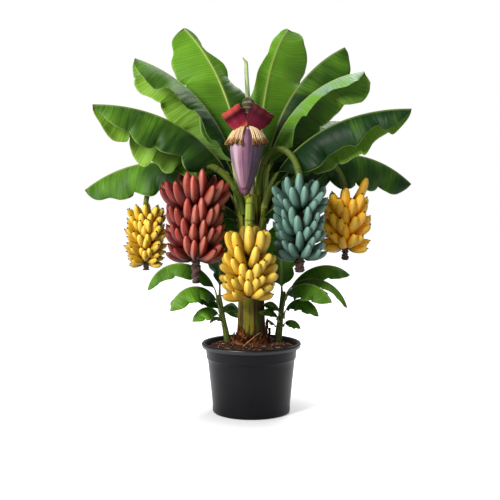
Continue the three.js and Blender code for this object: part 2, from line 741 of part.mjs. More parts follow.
export default parts;
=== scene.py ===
import math
import random

import bpy
import numpy as np
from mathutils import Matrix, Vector


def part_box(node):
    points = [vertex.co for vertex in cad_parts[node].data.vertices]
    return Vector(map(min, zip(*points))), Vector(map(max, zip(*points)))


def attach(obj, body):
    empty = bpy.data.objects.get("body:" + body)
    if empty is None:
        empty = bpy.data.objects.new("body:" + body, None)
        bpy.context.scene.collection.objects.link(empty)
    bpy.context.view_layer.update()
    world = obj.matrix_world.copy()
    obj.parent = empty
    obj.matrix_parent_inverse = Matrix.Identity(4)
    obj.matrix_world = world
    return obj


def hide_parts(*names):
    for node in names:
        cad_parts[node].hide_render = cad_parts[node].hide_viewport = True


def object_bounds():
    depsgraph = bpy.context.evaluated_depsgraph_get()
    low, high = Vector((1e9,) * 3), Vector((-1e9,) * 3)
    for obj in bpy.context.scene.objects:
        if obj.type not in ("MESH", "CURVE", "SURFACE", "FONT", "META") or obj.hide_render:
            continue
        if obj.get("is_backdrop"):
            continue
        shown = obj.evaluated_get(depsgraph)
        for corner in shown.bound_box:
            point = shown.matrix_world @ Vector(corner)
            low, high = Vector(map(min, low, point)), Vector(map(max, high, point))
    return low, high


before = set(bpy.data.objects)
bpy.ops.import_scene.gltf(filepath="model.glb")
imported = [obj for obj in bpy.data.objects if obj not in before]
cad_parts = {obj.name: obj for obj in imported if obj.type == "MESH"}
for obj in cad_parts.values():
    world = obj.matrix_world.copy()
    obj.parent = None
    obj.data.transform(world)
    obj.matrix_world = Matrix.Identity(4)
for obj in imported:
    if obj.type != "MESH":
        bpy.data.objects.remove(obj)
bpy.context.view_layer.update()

# A potted banana plant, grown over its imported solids: leaves with ribs and pleats, bunches of fingers,
# a blossom, a stem of overlapping sheaths, and a pot of loose soil. The tables and rules of growth are
# those of the solids, in millimetres and degrees, carried to a finer step. Meshes are in metres.

bl_info = {
    "name": "Potted Banana Plant",
    "version": (1, 0, 0),
    "blender": (4, 5, 0),
    "location": "View3D > Sidebar > Plant",
    "description": "Grows a potted banana plant over its packed solids",
    "category": "Add Mesh",
}

MM = 0.001

# ---- Driving dimensions, as in the solids ---------------------------------------------------------
POT = {
    "height": 212, "rim_radius": 150, "rim_depth": 16, "shoulder_radius": 138, "band_depth": 46,
    "band_step": 2.5, "foot_radius": 117, "wall": 4,
}
SOIL = {"edge_drop": 15, "plateau_radius": 98}
TRUNK = {"top": 655, "foot_radius": 55, "waist_radius": 44, "top_radius": 35}
SUCKERS = {
    "left": {"foot": (-72, 10), "head": (-98, 12), "top": 352, "foot_radius": 9.5, "top_radius": 6.5},
    "right": {"foot": (81, 20), "head": (97, 20), "top": 362, "foot_radius": 11, "top_radius": 7},
}

# A trim is the share that is left of a half's plain width, at even steps from its foot to its tip.
PLAIN_TRIM = (1, 1, 1)
BROAD_TRIM = (1.15, 1.42, 1.5, 1.4, 1.15)


def leaf_spec(
    at, z, az, rise, drop, bend, length, halves, fold, phase, wave=3, waves=1.5, ruffle=1, roll=0,
    share=None, lit=(0.5, 0.5), notches=(), trim=(PLAIN_TRIM, PLAIN_TRIM), sweep=(0, 0),
):
    """One leaf: the bearing and height it leaves its stem at, its heading, the slope that its rib rises
    with, how far and how fast that falls, its length, its halves' widths and folds, and the height,
    number and phase of its waves. Ruffles are its finer waves, the roll turns the blade, the share is its
    stalk's, lit is each half's painted light and shade, notches are a side and a place, and a sweep leads
    on to the tip.
    """
    return dict(locals())


CROWN_LEAVES = {
    "leaf_high_left": leaf_spec(
        130, 645, 143, 88, 49, 1.24, 590, (76, 112), (14, 8), 0.55, roll=-34, wave=20, waves=1.7,
        ruffle=0.7, lit=(0.5, 0.95),
        trim=((1, 1.05, 1.1, 1, 0.85, 0.6, 0.15, 0.22, 0.45), PLAIN_TRIM),
    ),
    "leaf_high_right": leaf_spec(
        56, 645, 58, 88, 53, 2.1, 572, (96, 62), (8, 14), 0.2, roll=54, wave=20, waves=1.7,
        ruffle=0.3, lit=(1.05, 1.1), sweep=(50, 0),
        trim=((1.2, 1.2, 1.2, 1.25, 1.42, 1.15, 0.6), (1, 1, 0.62, 0.42, 0.5)),
    ),
    "leaf_upper_left": leaf_spec(
        176, 638, 177, 88, 70, 1.05, 556, (120, 92), (80, 32), 0.3, wave=16, waves=1.7,
        notches=((-1, 0.9),), lit=(1.2, 0.35), sweep=(20, 0),
        trim=((1, 1, 1, 1, 0.97, 0.9, 0.78, 0.82, 0.45), (0.7, 0.65, 0.6, 0.65, 0.85, 1, 1, 1, 1)),
    ),
    "leaf_upper_right": leaf_spec(
        4, 638, 5, 88, 81, 1.24, 532, (95, 120), (34, 84), 0.2, wave=16, waves=1.7,
        notches=((1, 0.93),), lit=(1.6, 0.55), sweep=(0, 36),
        trim=(
            (1, 0.8, 0.75, 0.65, 0.6, 0.48, 0.36, 0.85, 0.45),
            (1, 1, 1, 0.9, 0.85, 0.7, 0.85, 0.82, 0.45),
        ),
    ),
    "leaf_middle_left": leaf_spec(
        205, 615, 196, 88, 90, 0.7, 572, (122, 116), (76, 70), 0.6, wave=15, waves=2,
        notches=((-1, 0.72),), ruffle=0.8, lit=(1.1, 0.36), sweep=(12, 4),
        trim=(
            (1, 1, 1.1, 1.15, 1.2, 1.1, 0.85, 0.88, 0.45),
            (1, 0.8, 1, 0.7, 0.93, 0.88, 0.77, 0.55, 0.25),
        ),
    ),
    "leaf_middle_right": leaf_spec(
        338, 615, -16, 88, 90, 0.66, 566, (116, 112), (70, 78), 0.5, wave=15, waves=2, ruffle=0.8,
        lit=(-0.05, 1.1), sweep=(0, 6),
        trim=(
            (1, 0.8, 0.85, 0.75, 0.7, 0.78, 0.42, 0.64, 0.3),
            (1, 1, 1, 1, 1, 1.15, 0.72, 0.75, 0.45),
        ),
    ),
    "leaf_low_left": leaf_spec(
        155, 600, 163, 88, 124, 0.55, 592, (90, 100), (35, 70), 0.2, share=0.28, wave=10, waves=2,
        lit=(0.3, 0.45),
    ),
    "leaf_low_right": leaf_spec(
        16, 600, 20, 88, 129, 0.66, 602, (98, 90), (80, 35), 0.9, share=0.3, wave=10, waves=2,
        lit=(0.15, 0.3),
    ),
    "leaf_tall_right": leaf_spec(
        33, 622, 19.5, 88, 63, 1.32, 580, (104, 60), (80, 84), 0.7, wave=8, notches=((1, 0.95),),
        lit=(0.25, 0.3), sweep=(22, 0),
        trim=((1, 1, 1, 1, 1, 0.95, 0.9, 0.85, 0.35), PLAIN_TRIM),
    ),
    "leaf_back_left": leaf_spec(
        129, 606, 147, 86, 100, 0.9, 560, (95, 95), (40, 40), 0.1, wave=10, waves=2, lit=(0.3, 0.3),
    ),
    "leaf_back": leaf_spec(
        104, 625, 106, 86, 112, 0.95, 560, (98, 98), (35, 35), 0.4, wave=10, waves=2,
        lit=(0.35, 0.45),
    ),
    "leaf_back_low": leaf_spec(
        80, 612, 76, 84, 118, 0.9, 560, (98, 98), (38, 38), 0.5, wave=10, waves=2, lit=(0.4, 0.3),
    ),
    "leaf_back_right": leaf_spec(
        59, 602, 40, 86, 100, 0.9, 560, (95, 95), (40, 40), 0.8, wave=10, waves=2, lit=(0.2, 0.2),
    ),
}


def shade_leaf(at, z, az, rise, drop, bend, length, half, fold, phase, wave, lit, share=None):
    """A plain leaf that fills the dark middle of the crown, painted in shade by its low lit values."""
    arch = (at, z, az, rise, drop, bend, length)
    return leaf_spec(*arch, (half, half), fold, phase, wave=wave, lit=lit, share=share)


SHADE_LEAVES = {
    "left_inner": shade_leaf(215, 560, 200, 75, 70, 0.7, 150, 46, (40, 40), 0.3, 6, (0, 0)),
    "left_low": shade_leaf(150, 530, 150, 84, 150, 0.75, 340, 66, (40, 50), 0.7, 9, (0.1, 0.15)),
    "right_inner": shade_leaf(325, 560, 340, 75, 70, 0.7, 160, 46, (40, 40), 0.1, 6, (0, 0)),
    "right_low": shade_leaf(30, 530, 32, 84, 150, 0.75, 340, 66, (50, 40), 0.5, 9, (0.15, 0.1)),
    "back_low": shade_leaf(95, 520, 92, 82, 150, 0.8, 380, 64, (45, 45), 0.9, 9, (0.25, 0.2)),
    "heart_left": shade_leaf(140, 560, 138, 80, 40, 0.9, 320, 75, (15, 15), 0.2, 3, (0, 0), share=0.2),
    "heart_right": shade_leaf(40, 560, 42, 80, 40, 0.9, 320, 75, (15, 15), 0.6, 3, (0, 0), share=0.2),
    "side_left": shade_leaf(165, 560, 150, 66, 50, 0.9, 300, 70, (20, 20), 0.4, 3, (0, 0), share=0.2),
    "side_right": shade_leaf(15, 560, 30, 66, 50, 0.9, 300, 70, (20, 20), 0.8, 3, (0, 0), share=0.2),
}
# The stalk's share of a leaf, its radius at its foot and end, the solid's thickness, and how far a foot
# stands clear of the stem's side. Then the share of a stalk that stays bare, and the places of the
# solid's sections along its blade.
CROWN_SIZE = {"share": 0.35, "radius": 8, "tip_radius": 4.5, "thickness": 5.6, "clear": 4.8}
BARE_STALK = 0.55
CROWN_STATIONS = (0.04, 0.13, 0.27, 0.42, 0.57, 0.72, 0.86, 0.96, 1)
# A leaf's rows, and the columns of each half.
CROWN_DETAIL, SHADE_DETAIL = (112, 12), (80, 8)


def sucker_leaf(*shape, **more):
    """A sucker's leaf, with a broader blade and livelier ripples."""
    return leaf_spec(*shape, ruffle=2, trim=(BROAD_TRIM, BROAD_TRIM), **more)


SUCKER_LEAVES = {
    "left": {
        "long": sucker_leaf(178, 325, 176, 88, 168, 1.15, 326, (33, 33), (20, 55), 0.2),
        "near": sucker_leaf(228, 300, 209, 85, 168, 1.1, 246, (38, 38), (30, 45), 0.5),
        "far": sucker_leaf(140, 285, 146, 85, 141, 1.1, 158, (25, 25), (40, 40), 0.1, lit=(0.2, 0.2)),
        "low": sucker_leaf(196, 275, 211, 85, 165, 1, 139, (29, 29), (35, 50), 0.3, lit=(0.8, 0.8)),
        "tiny": sucker_leaf(240, 262, 215, 84, 168, 1.3, 71, (8, 8), (50, 50), 0, lit=(0.2, 0.2)),
        "inner": sucker_leaf(50, 300, 60, 60, 160, 1, 125, (31, 31), (50, 30), 0.4, lit=(0.2, 0.2)),
        "upright": sucker_leaf(90, 340, 70, 88, 30, 2.2, 283, (37, 37), (25, 25), 0.6, lit=(0.2, 0.2)),
    },
    "right": {
        "upright": sucker_leaf(105, 345, 103, 85, 6, 1, 222, (36, 36), (15, 15), 0.2, lit=(0.9, 0.7)),
        "high": sucker_leaf(35, 335, 8, 70, 116, 1.3, 258, (36, 36), (48, 30), 0.4),
        "near": sucker_leaf(300, 320, -35, 86, 148, 0.9, 224, (39, 39), (50, 30), 0.1),
        "long": sucker_leaf(-12, 345, -9, 84, 160, 0.75, 255, (25, 25), (30, 40), 0.8),
        "low": sucker_leaf(-28, 280, -31, 85, 168, 1.14, 180, (29, 29), (45, 35), 0.5, lit=(0.2, 0.2)),
        "lowest": sucker_leaf(-15, 255, -23, 84, 165, 0.9, 80, (18, 18), (45, 35), 0.3),
        "inner": sucker_leaf(248, 270, 233, 64, 108, 1.5, 116, (13, 24), (35, 45), 0.6, lit=(0.2, 0.2)),
        "small": sucker_leaf(190, 255, 195, 61, 40, 1, 37, (12, 12), (30, 30), 0),
        "dark": sucker_leaf(250, 290, 235, 80, 92, 1, 95, (21, 21), (30, 45), 0.2, lit=(0.2, 0.2)),
    },
}
SUCKER_SIZE = {"share": 0.24, "radius": 3, "tip_radius": 2, "thickness": 3.2, "clear": 2}
SUCKER_STATIONS = (0.08, 0.3, 0.55, 0.8, 0.94, 1)
SUCKER_DETAIL, SHORT_DETAIL, SHORT_LEAF = (56, 8), (36, 8), 100
SUCKER_BLADE = 0.9

ROLLED_LEAF = {"foot": (2, 22), "tip": (-13, 16), "top": 1062, "radius": 7.5}


def bunch_spec(at, top, tail, around, girth, nub, hands, rachis=11, point=0.05, drop=14, first=0, horn=None):
    """One bunch: where it hangs, its rachis's top and tail, the fingers around it, their girth and the
    width of their nubs. Each hand: the height it leaves the rachis at, its rows, its fingers' length,
    their first and last slopes at the front, how much lower they lie at the sides, their girth, and a
    bearing left open. Then the rachis's radius, how much the tips narrow, how much lower a hand's next
    row lies, whether the first row is turned half a step, and a horn, which is one finger more: its
    height, bearing, first and last slopes and length.
    """
    return dict(locals())


BUNCHES = {
    "red": bunch_spec(
        at=(-163, -60), top=690, tail=397, around=9, girth=16.5, nub=0.1,
        point=0.26, drop=6, first=1,
        hands=(
            (632, 2, 136, 0, 98, 38, 1.08, None), (568, 2, 120, -14, 98, 24, 1, None),
            (526, 2, 112, -22, 92, 28, 0.98, None), (490, 2, 106, -26, 76, 34, 0.94, None),
        ),
    ),
    "blue": bunch_spec(
        at=(141, -84), top=690, tail=432, around=10, girth=13, nub=0.12,
        point=0.1,
        hands=(
            (638, 3, 106, 0, 98, 44, 1, -90), (560, 3, 98, -12, 96, 32, 0.96, -100),
            (500, 2, 90, -20, 84, 42, 0.92, None),
        ),
    ),
    "yellow_middle": bunch_spec(
        at=(-8, -150), top=560, tail=366, around=9, girth=14.5, nub=0.14,
        hands=(
            (488, 1, 106, 8, 98, 16, 1.08, None), (456, 2, 99, -8, 92, 44, 1, -84),
            (422, 2, 96, -14, 86, 58, 0.96, None), (396, 2, 86, -10, 80, 62, 0.9, None),
        ),
    ),
    "yellow_right": bunch_spec(
        at=(286, 52), top=625, tail=455, around=8, girth=14, nub=0.14,
        rachis=8.5, horn=(602, -14, 30, 74, 128),
        hands=(
            (592, 2, 100, 10, 98, 30, 1, None), (554, 2, 96, 0, 90, 46, 1, None),
            (518, 2, 86, -10, 80, 66, 0.94, None),
        ),
    ),
    "yellow_left": bunch_spec(
        at=(-324, 81), top=606, tail=421, around=10, girth=10.8, nub=0.18,
        rachis=8,
        hands=(
            (570, 3, 78, 6, 94, 34, 1, None), (532, 2, 76, 0, 88, 52, 1, None),
            (498, 2, 72, -6, 82, 66, 0.96, None), (468, 2, 62, -8, 74, 76, 0.9, None),
        ),
    ),
}
STALKS = {
    "red": {"bearing": 236, "z": 598, "lead": (-22, 0, 138), "fall": 98, "radius": (8.5, 10.5)},
    "blue": {"foot": (24, -8, 655), "lead": (0, 0, 195), "fall": 118, "radius": (8.5, 10.5)},
    "yellow_middle": {"bearing": 270, "z": 585, "lead": (0, -25, 70), "fall": 115, "radius": (9.5, 11)},
    "yellow_right": {"bearing": 2, "z": 570, "lead": (60, 5, 160), "fall": 225, "radius": (7.5, 8.5)},
    "yellow_left": {"bearing": 172, "z": 562, "lead": (-60, 70, 145), "fall": 190, "radius": (7.5, 8)},
}
# A dry sheath has a skirt of short flakes from one bearing to another, and looser flakes about it.
DRY_SHEATHS = {
    "left": {"bearing": 232, "span": 30, "height": 60, "splay": 11, "skirt": (236, 330, 9), "flakes": 9},
    "right": {"bearing": -24, "span": 8, "height": 78, "splay": 7, "skirt": (0, 0, 1), "flakes": 2},
}
BLOSSOM = {
    "foot": (2, -8), "neck": (-12, -95), "neck_height": 852, "bud_tip": (-19, -95),
    "bud_tip_height": 655, "bud_radius": 49, "stalk_radius": (9, 18), "stalk_lead": (0, 8, 255),
    "stalk_fall": 150, "bract_length": 84, "bract_width": 74,
}
SOIL_TOP = POT["height"]

# Metres on the stage.
FLOOR_REACH = 9
CAMERA = {"lens": 72.3, "sensor": 36, "aside": -0.004, "height": 0.745, "aim": 0.490}
LIGHTS = {
    "key": {"place": (-2.0, -2.4, 2.2), "target": (0, 0, 0.6), "width": 1.2},
    "back": {"place": (0.7, 1.6, 2.6), "target": (0, 0, 0.8), "width": 1.6},
    "side": {"place": (-1.9, -0.55, 0.5), "target": (0, 0, 0.3), "width": 0.5},
}

# A turn in radians, near enough for phases and for the grain's place round a stem.
ROUND = 6.28
# The share of a leaf's light that comes through its blade.
GLOW_SHARE = 0.2


# ---- Settings a user would change -----------------------------------------------------------------
def linear(code):
    """A colour's linear red, green and blue, from its hexadecimal code."""
    shares = [int(code[i : i + 2], 16) / 255 for i in (0, 2, 4)]
    return [s / 12.92 if s <= 0.04045 else ((s + 0.055) / 1.055) ** 2.4 for s in shares]


def colour(name, description, code):
    """A colour that a user can change."""
    return bpy.props.FloatVectorProperty(
        name=name, description=description, default=linear(code), subtype="COLOR", min=0, max=1
    )


def size(name, description, default, unit="LENGTH"):
    """A measure that a user can change."""
    return bpy.props.FloatProperty(name=name, description=description, default=default, unit=unit)


class LeafSettings(bpy.types.PropertyGroup):
    """Colours and measures of the blades."""

    # The sunlit and shaded colours of each face are painted light and shade, picked by each half's lit
    # value.
    bright: colour("Bright", "Upper face of a sunlit blade", "70a526")
    dark: colour("Dark", "Upper face of a shaded blade", "0c2e0c")
    under_bright: colour("Bright underside", "Lower face of a sunlit blade", "84ad34")
    under_dark: colour("Dark underside", "Lower face of a shaded blade", "1f4a1e")
    glow: colour("Glow", "Light that comes through a blade", "86c22c")
    rib: colour("Rib", "Midrib and margin", "b2c56e")
    petiole: colour("Petiole", "Stalk of a leaf", "b4c24a")
    # The sheen is a painted highlight where a blade's painted light runs highest.
    sheen: colour("Sheen", "Waxy sheen of a blade that turns to the light", "a6beb0")
    blade_thickness: size("Blade thickness", "Thickness of a leaf's blade", 1.3 * MM)
    vein_spacing: size("Vein spacing", "Distance between the pleats along the rib", 9 * MM)


class FruitSettings(bpy.types.PropertyGroup):
    """Colours of the bananas and their stalks."""

    # The sheens are painted highlights, laid on the lit flank and ridges of each finger.
    red: colour("Red", "Skin of the red bananas", "600a0b")
    red_tip: colour("Red tip", "Skin near the tips of the red bananas", "b03e2c")
    red_sheen: colour("Red sheen", "Palest skin of the red bananas", "da927c")
    blue: colour("Blue", "Skin of the blue-green bananas", "4a6e60")
    blue_tip: colour("Blue bloom", "Waxy bloom on the blue-green bananas", "7aa090")
    blue_sheen: colour("Blue sheen", "Palest skin of the blue-green bananas", "90b6a4")
    yellow: colour("Yellow", "Skin of the ripe bananas", "e6ac1c")
    yellow_tip: colour("Yellow tip", "Skin near the tips of the ripe bananas", "f4d250")
    yellow_sheen: colour("Yellow sheen", "Palest skin of the ripe bananas", "f8de72")
    amber: colour("Amber", "Skin of the amber bananas", "ffae18")
    amber_tip: colour("Amber tip", "Skin near the tips of the amber bananas", "ffc632")
    amber_sheen: colour("Amber sheen", "Palest skin of the amber bananas", "ffd468")
    nub: colour("Nub", "Dried flower end of a finger", "2c1c12")
    stalk: colour("Stalk", "Green fruit stalk", "5a6a22")
    young_stalk: colour("Young stalk", "Stalk of the front bunch", "8c9c32")
    scar: colour("Scar", "Scarred and woody rachis", "523e36")


class StemSettings(bpy.types.PropertyGroup):
    """Colours of the stem and the suckers."""

    green: colour("Green", "Living sheaths of the stem", "424a0e")
    pale: colour("Pale", "Young sheaths of the stem", "6c6410")
    dry: colour("Dry", "Dried strips and edges", "3c200e")
    husk: colour("Husk", "Loose dry sheaths at the foot", "6e4222")
    sucker: colour("Sucker", "Stems of the suckers", "4c5c1c")


class BlossomSettings(bpy.types.PropertyGroup):
    """Colours of the bud, its bracts and the flowers."""

    bud: colour("Bud", "Outer face of the closed bracts", "6c4460")
    bloom: colour("Bloom", "Waxy bloom on the bud", "c2a4b2")
    blush: colour("Blush", "Front of the bud", "a06e7a")
    shadow: colour("Shadow", "Side of the bud that lies in the shade", "3a2a44")
    tip: colour("Tip", "Tip of the bud", "6a2444")
    inside: colour("Inside", "Inner face of an open bract", "88203a")
    # The rolled edge's red is partly its own colour and partly a painted highlight on the roll.
    edge: colour("Edge", "Rolled edge of an open bract", "b4443e")
    base: colour("Base", "Foot of an open bract", "d8703a")
    flower: colour("Flower", "Tube of a flower", "ecd0a0")
    flower_tip: colour("Flower tip", "Mouth of a flower", "94683a")


class PotSettings(bpy.types.PropertyGroup):
    """Colours of the pot and what fills it."""

    plastic: colour("Plastic", "Moulded wall of the pot", "07070d")
    soil: colour("Soil", "Potting mix", "3a2317")
    clod: colour("Clod", "Lighter crumbs in the mix", "6a4530")
    straw: colour("Straw", "Straws and fibres", "b98e66")
    perlite: colour("Perlite", "White specks in the mix", "e6e2da")


class StageSettings(bpy.types.PropertyGroup):
    """The floor, the lights and the camera's distance."""

    floor: colour("Floor", "Studio floor", "f4f4f4")
    ambient: bpy.props.FloatProperty(
        name="Ambient", description="Strength of the studio's even light", default=0.36, min=0
    )
    key: size("Key light", "Power of the soft light at the upper left", 138, "POWER")
    back: size("Back light", "Power of the light behind the plant", 60, "POWER")
    side: size("Side light", "Power of the low light at the left", 9, "POWER")
    camera_distance: size("Camera distance", "From the camera to the plant's middle", 3.0)


class PlantSettings(bpy.types.PropertyGroup):
    """All that a user would change."""

    leaf: bpy.props.PointerProperty(type=LeafSettings, name="Leaves", description="Leaves")
    fruit: bpy.props.PointerProperty(type=FruitSettings, name="Fruit", description="Fruit")
    stem: bpy.props.PointerProperty(type=StemSettings, name="Stem", description="Stem")
    blossom: bpy.props.PointerProperty(type=BlossomSettings, name="Blossom", description="Blossom")
    pot: bpy.props.PointerProperty(type=PotSettings, name="Pot", description="Pot and soil")
    stage: bpy.props.PointerProperty(type=StageSettings, name="Stage", description="Floor and light")


# ---- Materials ------------------------------------------------------------------------------------
def plug(tree, entry, value):
    """Links a node's entry to a socket, or sets it to a colour or a number."""
    if isinstance(value, Socket):
        tree.links.new(value.output, entry)
    elif entry.type == "RGBA":
        entry.default_value = (*value[:3], 1)
    else:
        entry.default_value = value


class Socket:
    """A node's output, on which Python's operators add Math nodes."""

    def __init__(self, tree, output):
        self.tree, self.output = tree, output

    def math(self, operation, *values):
        """A Math node on values and sockets."""
        node = self.tree.nodes.new("ShaderNodeMath")
        node.operation = operation
        for entry, value in zip(node.inputs, values):
            plug(self.tree, entry, value)
        return Socket(self.tree, node.outputs[0])

    def __add__(self, other):
        return self.math("ADD", self, other)

    __radd__ = __add__

    def __sub__(self, other):
        return self.math("SUBTRACT", self, other)

    def __rsub__(self, other):
        return self.math("SUBTRACT", other, self)

    def __mul__(self, other):
        return self.math("MULTIPLY", self, other)

    __rmul__ = __mul__

    def __truediv__(self, other):
        return self.math("DIVIDE", self, other)

    def __pow__(self, other):
        return self.math("POWER", self, other)

    def sine(self):
        return self.math("SINE", self)

    def absolute(self):
        return self.math("ABSOLUTE", self)


class Finish:
    """A material or a world, and the nodes that its look is worked out with."""

    def __init__(self, name, kind="materials"):
        self.owner = getattr(bpy.data, kind).new(name)
        self.owner.use_nodes = True
        self.tree = self.owner.node_tree
        self.tree.nodes.clear()

    def node(self, kind, settings=None, sockets=None, output=0):
        """Adds a node of a type, with its settings first and then what its sockets hold."""
        node = self.tree.nodes.new(kind)
        for key, value in (settings or {}).items():
            setattr(node, key, value)
        for key, value in (sockets or {}).items():
            plug(self.tree, node.inputs[key], value)
        return Socket(self.tree, node.outputs[output]) if node.outputs else None

    def attribute(self, name):
        """A value that the mesh holds at its points."""
        return self.node("ShaderNodeAttribute", {"attribute_name": name}, output="Fac")

    def attributes(self, *names):
        return [self.attribute(name) for name in names]

    def place(self):
        return self.node("ShaderNodeTexCoord", output="Object")

    def vector(self, x, y, z):
        return self.node("ShaderNodeCombineXYZ", sockets={"X": x, "Y": y, "Z": z})

    def noise(self, where, scale, detail=3.0, roughness=0.5):
        """A soft random pattern from 0 to 1, at a scale per metre."""
        sockets = {"Vector": where, "Scale": scale, "Detail": detail, "Roughness": roughness}
        return self.node("ShaderNodeTexNoise", sockets=sockets)

    def step(self, value, low, high):
        """0 where value is at low, 1 where it is at high, and smooth between."""
        sockets = {"Value": value, "From Min": low, "From Max": high}
        return self.node("ShaderNodeMapRange", {"interpolation_type": "SMOOTHSTEP"}, sockets)

    def mix(self, first, second, factor):
        """The first colour where the factor is 0, and the second where it is 1."""
        sockets = {0: factor, 6: first, 7: second}
        return self.node("ShaderNodeMix", {"data_type": "RGBA"}, sockets, output=2)

    def coats(self, base, *coats):
        """A colour with coats laid over it in turn: each a colour and the share of it that covers."""
        for tone, cover in coats:
            base = self.mix(base, tone, cover)
        return base

    def bump(self, height, strength, distance):
        """A normal that shows a relief, with its depth in millimetres."""
        sockets = {"Height": height, "Strength": strength, "Distance": distance * MM}
        return self.node("ShaderNodeBump", sockets=sockets)

    def surface(self, base, roughness, normal=None, shine=0.5, glow=None, **lit):
        """The finished material. With a glow, some light comes through it in that colour."""
        sockets = {"Base Color": base, "Roughness": roughness, "Specular IOR Level": shine}
        sockets.update({key.replace("_", " "): value for key, value in lit.items()})
        if normal:
            sockets["Normal"] = normal
        shader = self.node("ShaderNodeBsdfPrincipled", sockets=sockets)
        if glow:
            through = self.node("ShaderNodeBsdfTranslucent", sockets={"Color": glow})
            shader = self.node("ShaderNodeMixShader", sockets={0: GLOW_SHARE, 1: shader, 2: through})
        self.node("ShaderNodeOutputMaterial", sockets={"Surface": shader})
        return self.owner


def shade(rgb, factor):
    """A colour made darker or lighter by a factor."""
    return [min(channel * factor, 1) for channel in rgb]


def blade_finish(name, dark, bright, settings, gloss):
    """A blade's face: veins from rib to margin, painted light and shade in soft folds, and a pale rib."""
    f = Finish(name)
    across, along, reach, end, lit = f.attributes("across", "along", "reach", "end", "lit")
    spacing = settings.vein_spacing / MM
    vein = (along - across * 0.22) / spacing
    bands = f.noise(f.vector(vein * 0.2, across * 0.009, 1.0), 1.0, 2.0)
    pleats = f.noise(f.vector(vein * 0.9, across * 0.006, 5.0), 1.0, 2.0)
    wobble = f.noise(f.vector(vein * 0.3, across * 0.004, 3.0), 1.0, 1.0)
    lines = (vein * 6.283 + wobble * 9.0).sine() * 0.5 + 0.5
    cloud = f.noise(f.place(), 8.0, 2.0)
    # Painted light: each half's lit value, moved by soft bands, pleats and clouds, lower near the foot.
    inner = f.step(end, 0.1, 0.7)
    light = lit + (bands - 0.5) * 1.0 + (pleats - 0.5) * 0.6
    light = light + (cloud - 0.5) * 0.8 + (inner - 0.8) * 0.45
    withered = f.step(end + f.noise(f.place(), 60.0) * 0.03, 0.995, 1.012)
    base = f.coats(
        dark,
        # Painted light and shade: dark to bright, then lighter green and the sheen, painted shade at the
        # foot.
        (bright, f.step(light, -0.1, 1.1)),
        (shade(bright, 1.4), f.step(light, 0.95, 1.6)),
        (settings.sheen, f.step(light, 1.25, 1.9) * 0.75),
        (shade(dark, 0.7), (1 - inner) * 0.55),
        (shade(dark, 0.9), lines * 0.24),
        (settings.rib, (1 - f.step(across, 1.5, 8.0)) * 0.3),
        (settings.rib, f.step(reach, 0.97, 0.99) * 0.55),
        ((0.10, 0.06, 0.02), withered),
    )
    height = pleats * 0.6 + bands * 0.3 + lines * 0.12
    normal = f.bump(height, 0.4, 1.6)
    rough = gloss + pleats * 0.14
    return f.surface(base, rough, normal, 0.2, settings.glow)


def rib_finish(name, tone, pale):
    """A midrib or leaf stalk, streaked along its length."""
    f = Finish(name)
    along, around, end, lit = f.attributes("along", "across", "end", "lit")
    streak = f.noise(f.vector(along * 0.006, around * 0.55, 2.0), 1.0, 3.0)
    blotch = f.noise(f.place(), 26.0, 3.0)
    # Painted shade: along the blade, the rib darkens where the blade's painted light is low.
    dim = f.step(end, 0.0, 0.2) * (1 - f.step(lit, 0.3, 1.0))
    base = f.coats(
        tone,
        (pale, f.step(streak, 0.35, 0.65)),
        (shade(tone, 0.45), f.step(blotch, 0.62, 0.78) * 0.45),
        (shade(pale, 0.25), dim * 0.85),
    )
    return f.surface(base, 0.42 + streak * 0.15, f.bump(streak, 0.3, 0.8), shine=0.25)


def young_finish(name, settings):
    """The rolled leaf: pale green, darker in its seam, olive and then brown at the tip."""
    f = Finish(name)
    along, around, end, seam = f.attributes("along", "across", "end", "seam")
    streak = f.noise(f.vector(along * 0.01, around * 0.4, 2.0), 1.0, 3.0)
    olive, brown = linear("98a04c"), linear("6b4a22")
    base = f.coats(
        # The rolled leaf's own pale green borrows the sheen's colour.
        shade(settings.sheen, 0.8),
        (shade(settings.rib, 1.1), f.step(streak, 0.35, 0.65)),
        (shade(settings.under_bright, 0.4), f.step(seam, 0.15, 0.2) * 0.7),
        (olive, f.step(end, 0.93, 0.97)),
        (brown, f.step(end, 0.985, 0.998)),
    )
    return f.surface(base, 0.45, f.bump(streak, 0.25, 0.8))


def fruit_finish(name, skin, tip, sheen, nub, spots, bloom, gloss, deep):
    """A finger's skin: ridged, paler towards the tip, with painted shade in the bunch, a painted sheen, and
    freckles.
    """
    f = Finish(name)
    along, seed, ridge, belly, depth = f.attributes("along", "seed", "ridge", "belly", "depth")
    mottle = f.noise(f.place(), 55.0, 4.0)
    freckle = f.noise(f.place(), 230.0, 2.0)
    streak = f.noise(f.vector(along * 0.7, ridge * 2.0, seed * 40), 1.0, 3.0)
    # Where the painted sheen covers: the lit flank, past the stalk end.
    lit_face = f.step(belly, 0.88, 1.0) * f.step(along, 0.2, 0.6)
    base = f.coats(
        shade(skin, 0.45 + deep * 0.4),
        (shade(skin, 1.25), seed * 0.7 + streak * 0.4),
        (tip, f.step(along + mottle * 0.3, 0.5, 1.15) * 0.7),
        (tip, f.step(mottle, 0.5, 0.72) * bloom),
        # Painted sheen on the ridges and the lit flank.
        (sheen, ridge * 0.06 + lit_face * 0.5),
        # Painted shade on the flank away from the light.
        (shade(skin, deep), (1 - f.step(belly, 0.4, 0.75)) * 0.75),
        (shade(skin, deep * 0.5), (1 - f.step(along, 0.06, 0.5)) * 0.8),
    )
    # Painted shade deep in the bunch, by depth; then freckles and the dark tip.
    base = f.coats(
        shade(skin, 0.06),
        (base, depth * 0.9 + 0.1),
        (nub, f.step(freckle, 0.66, 0.7) * spots),
        (nub, f.step(along, 0.93, 0.97) * 0.35),
    )
    normal = f.bump(mottle * 0.6 + ridge * 0.5, 0.25, 1.0)
    return f.surface(base, gloss + mottle * 0.12, normal, shine=0.2)


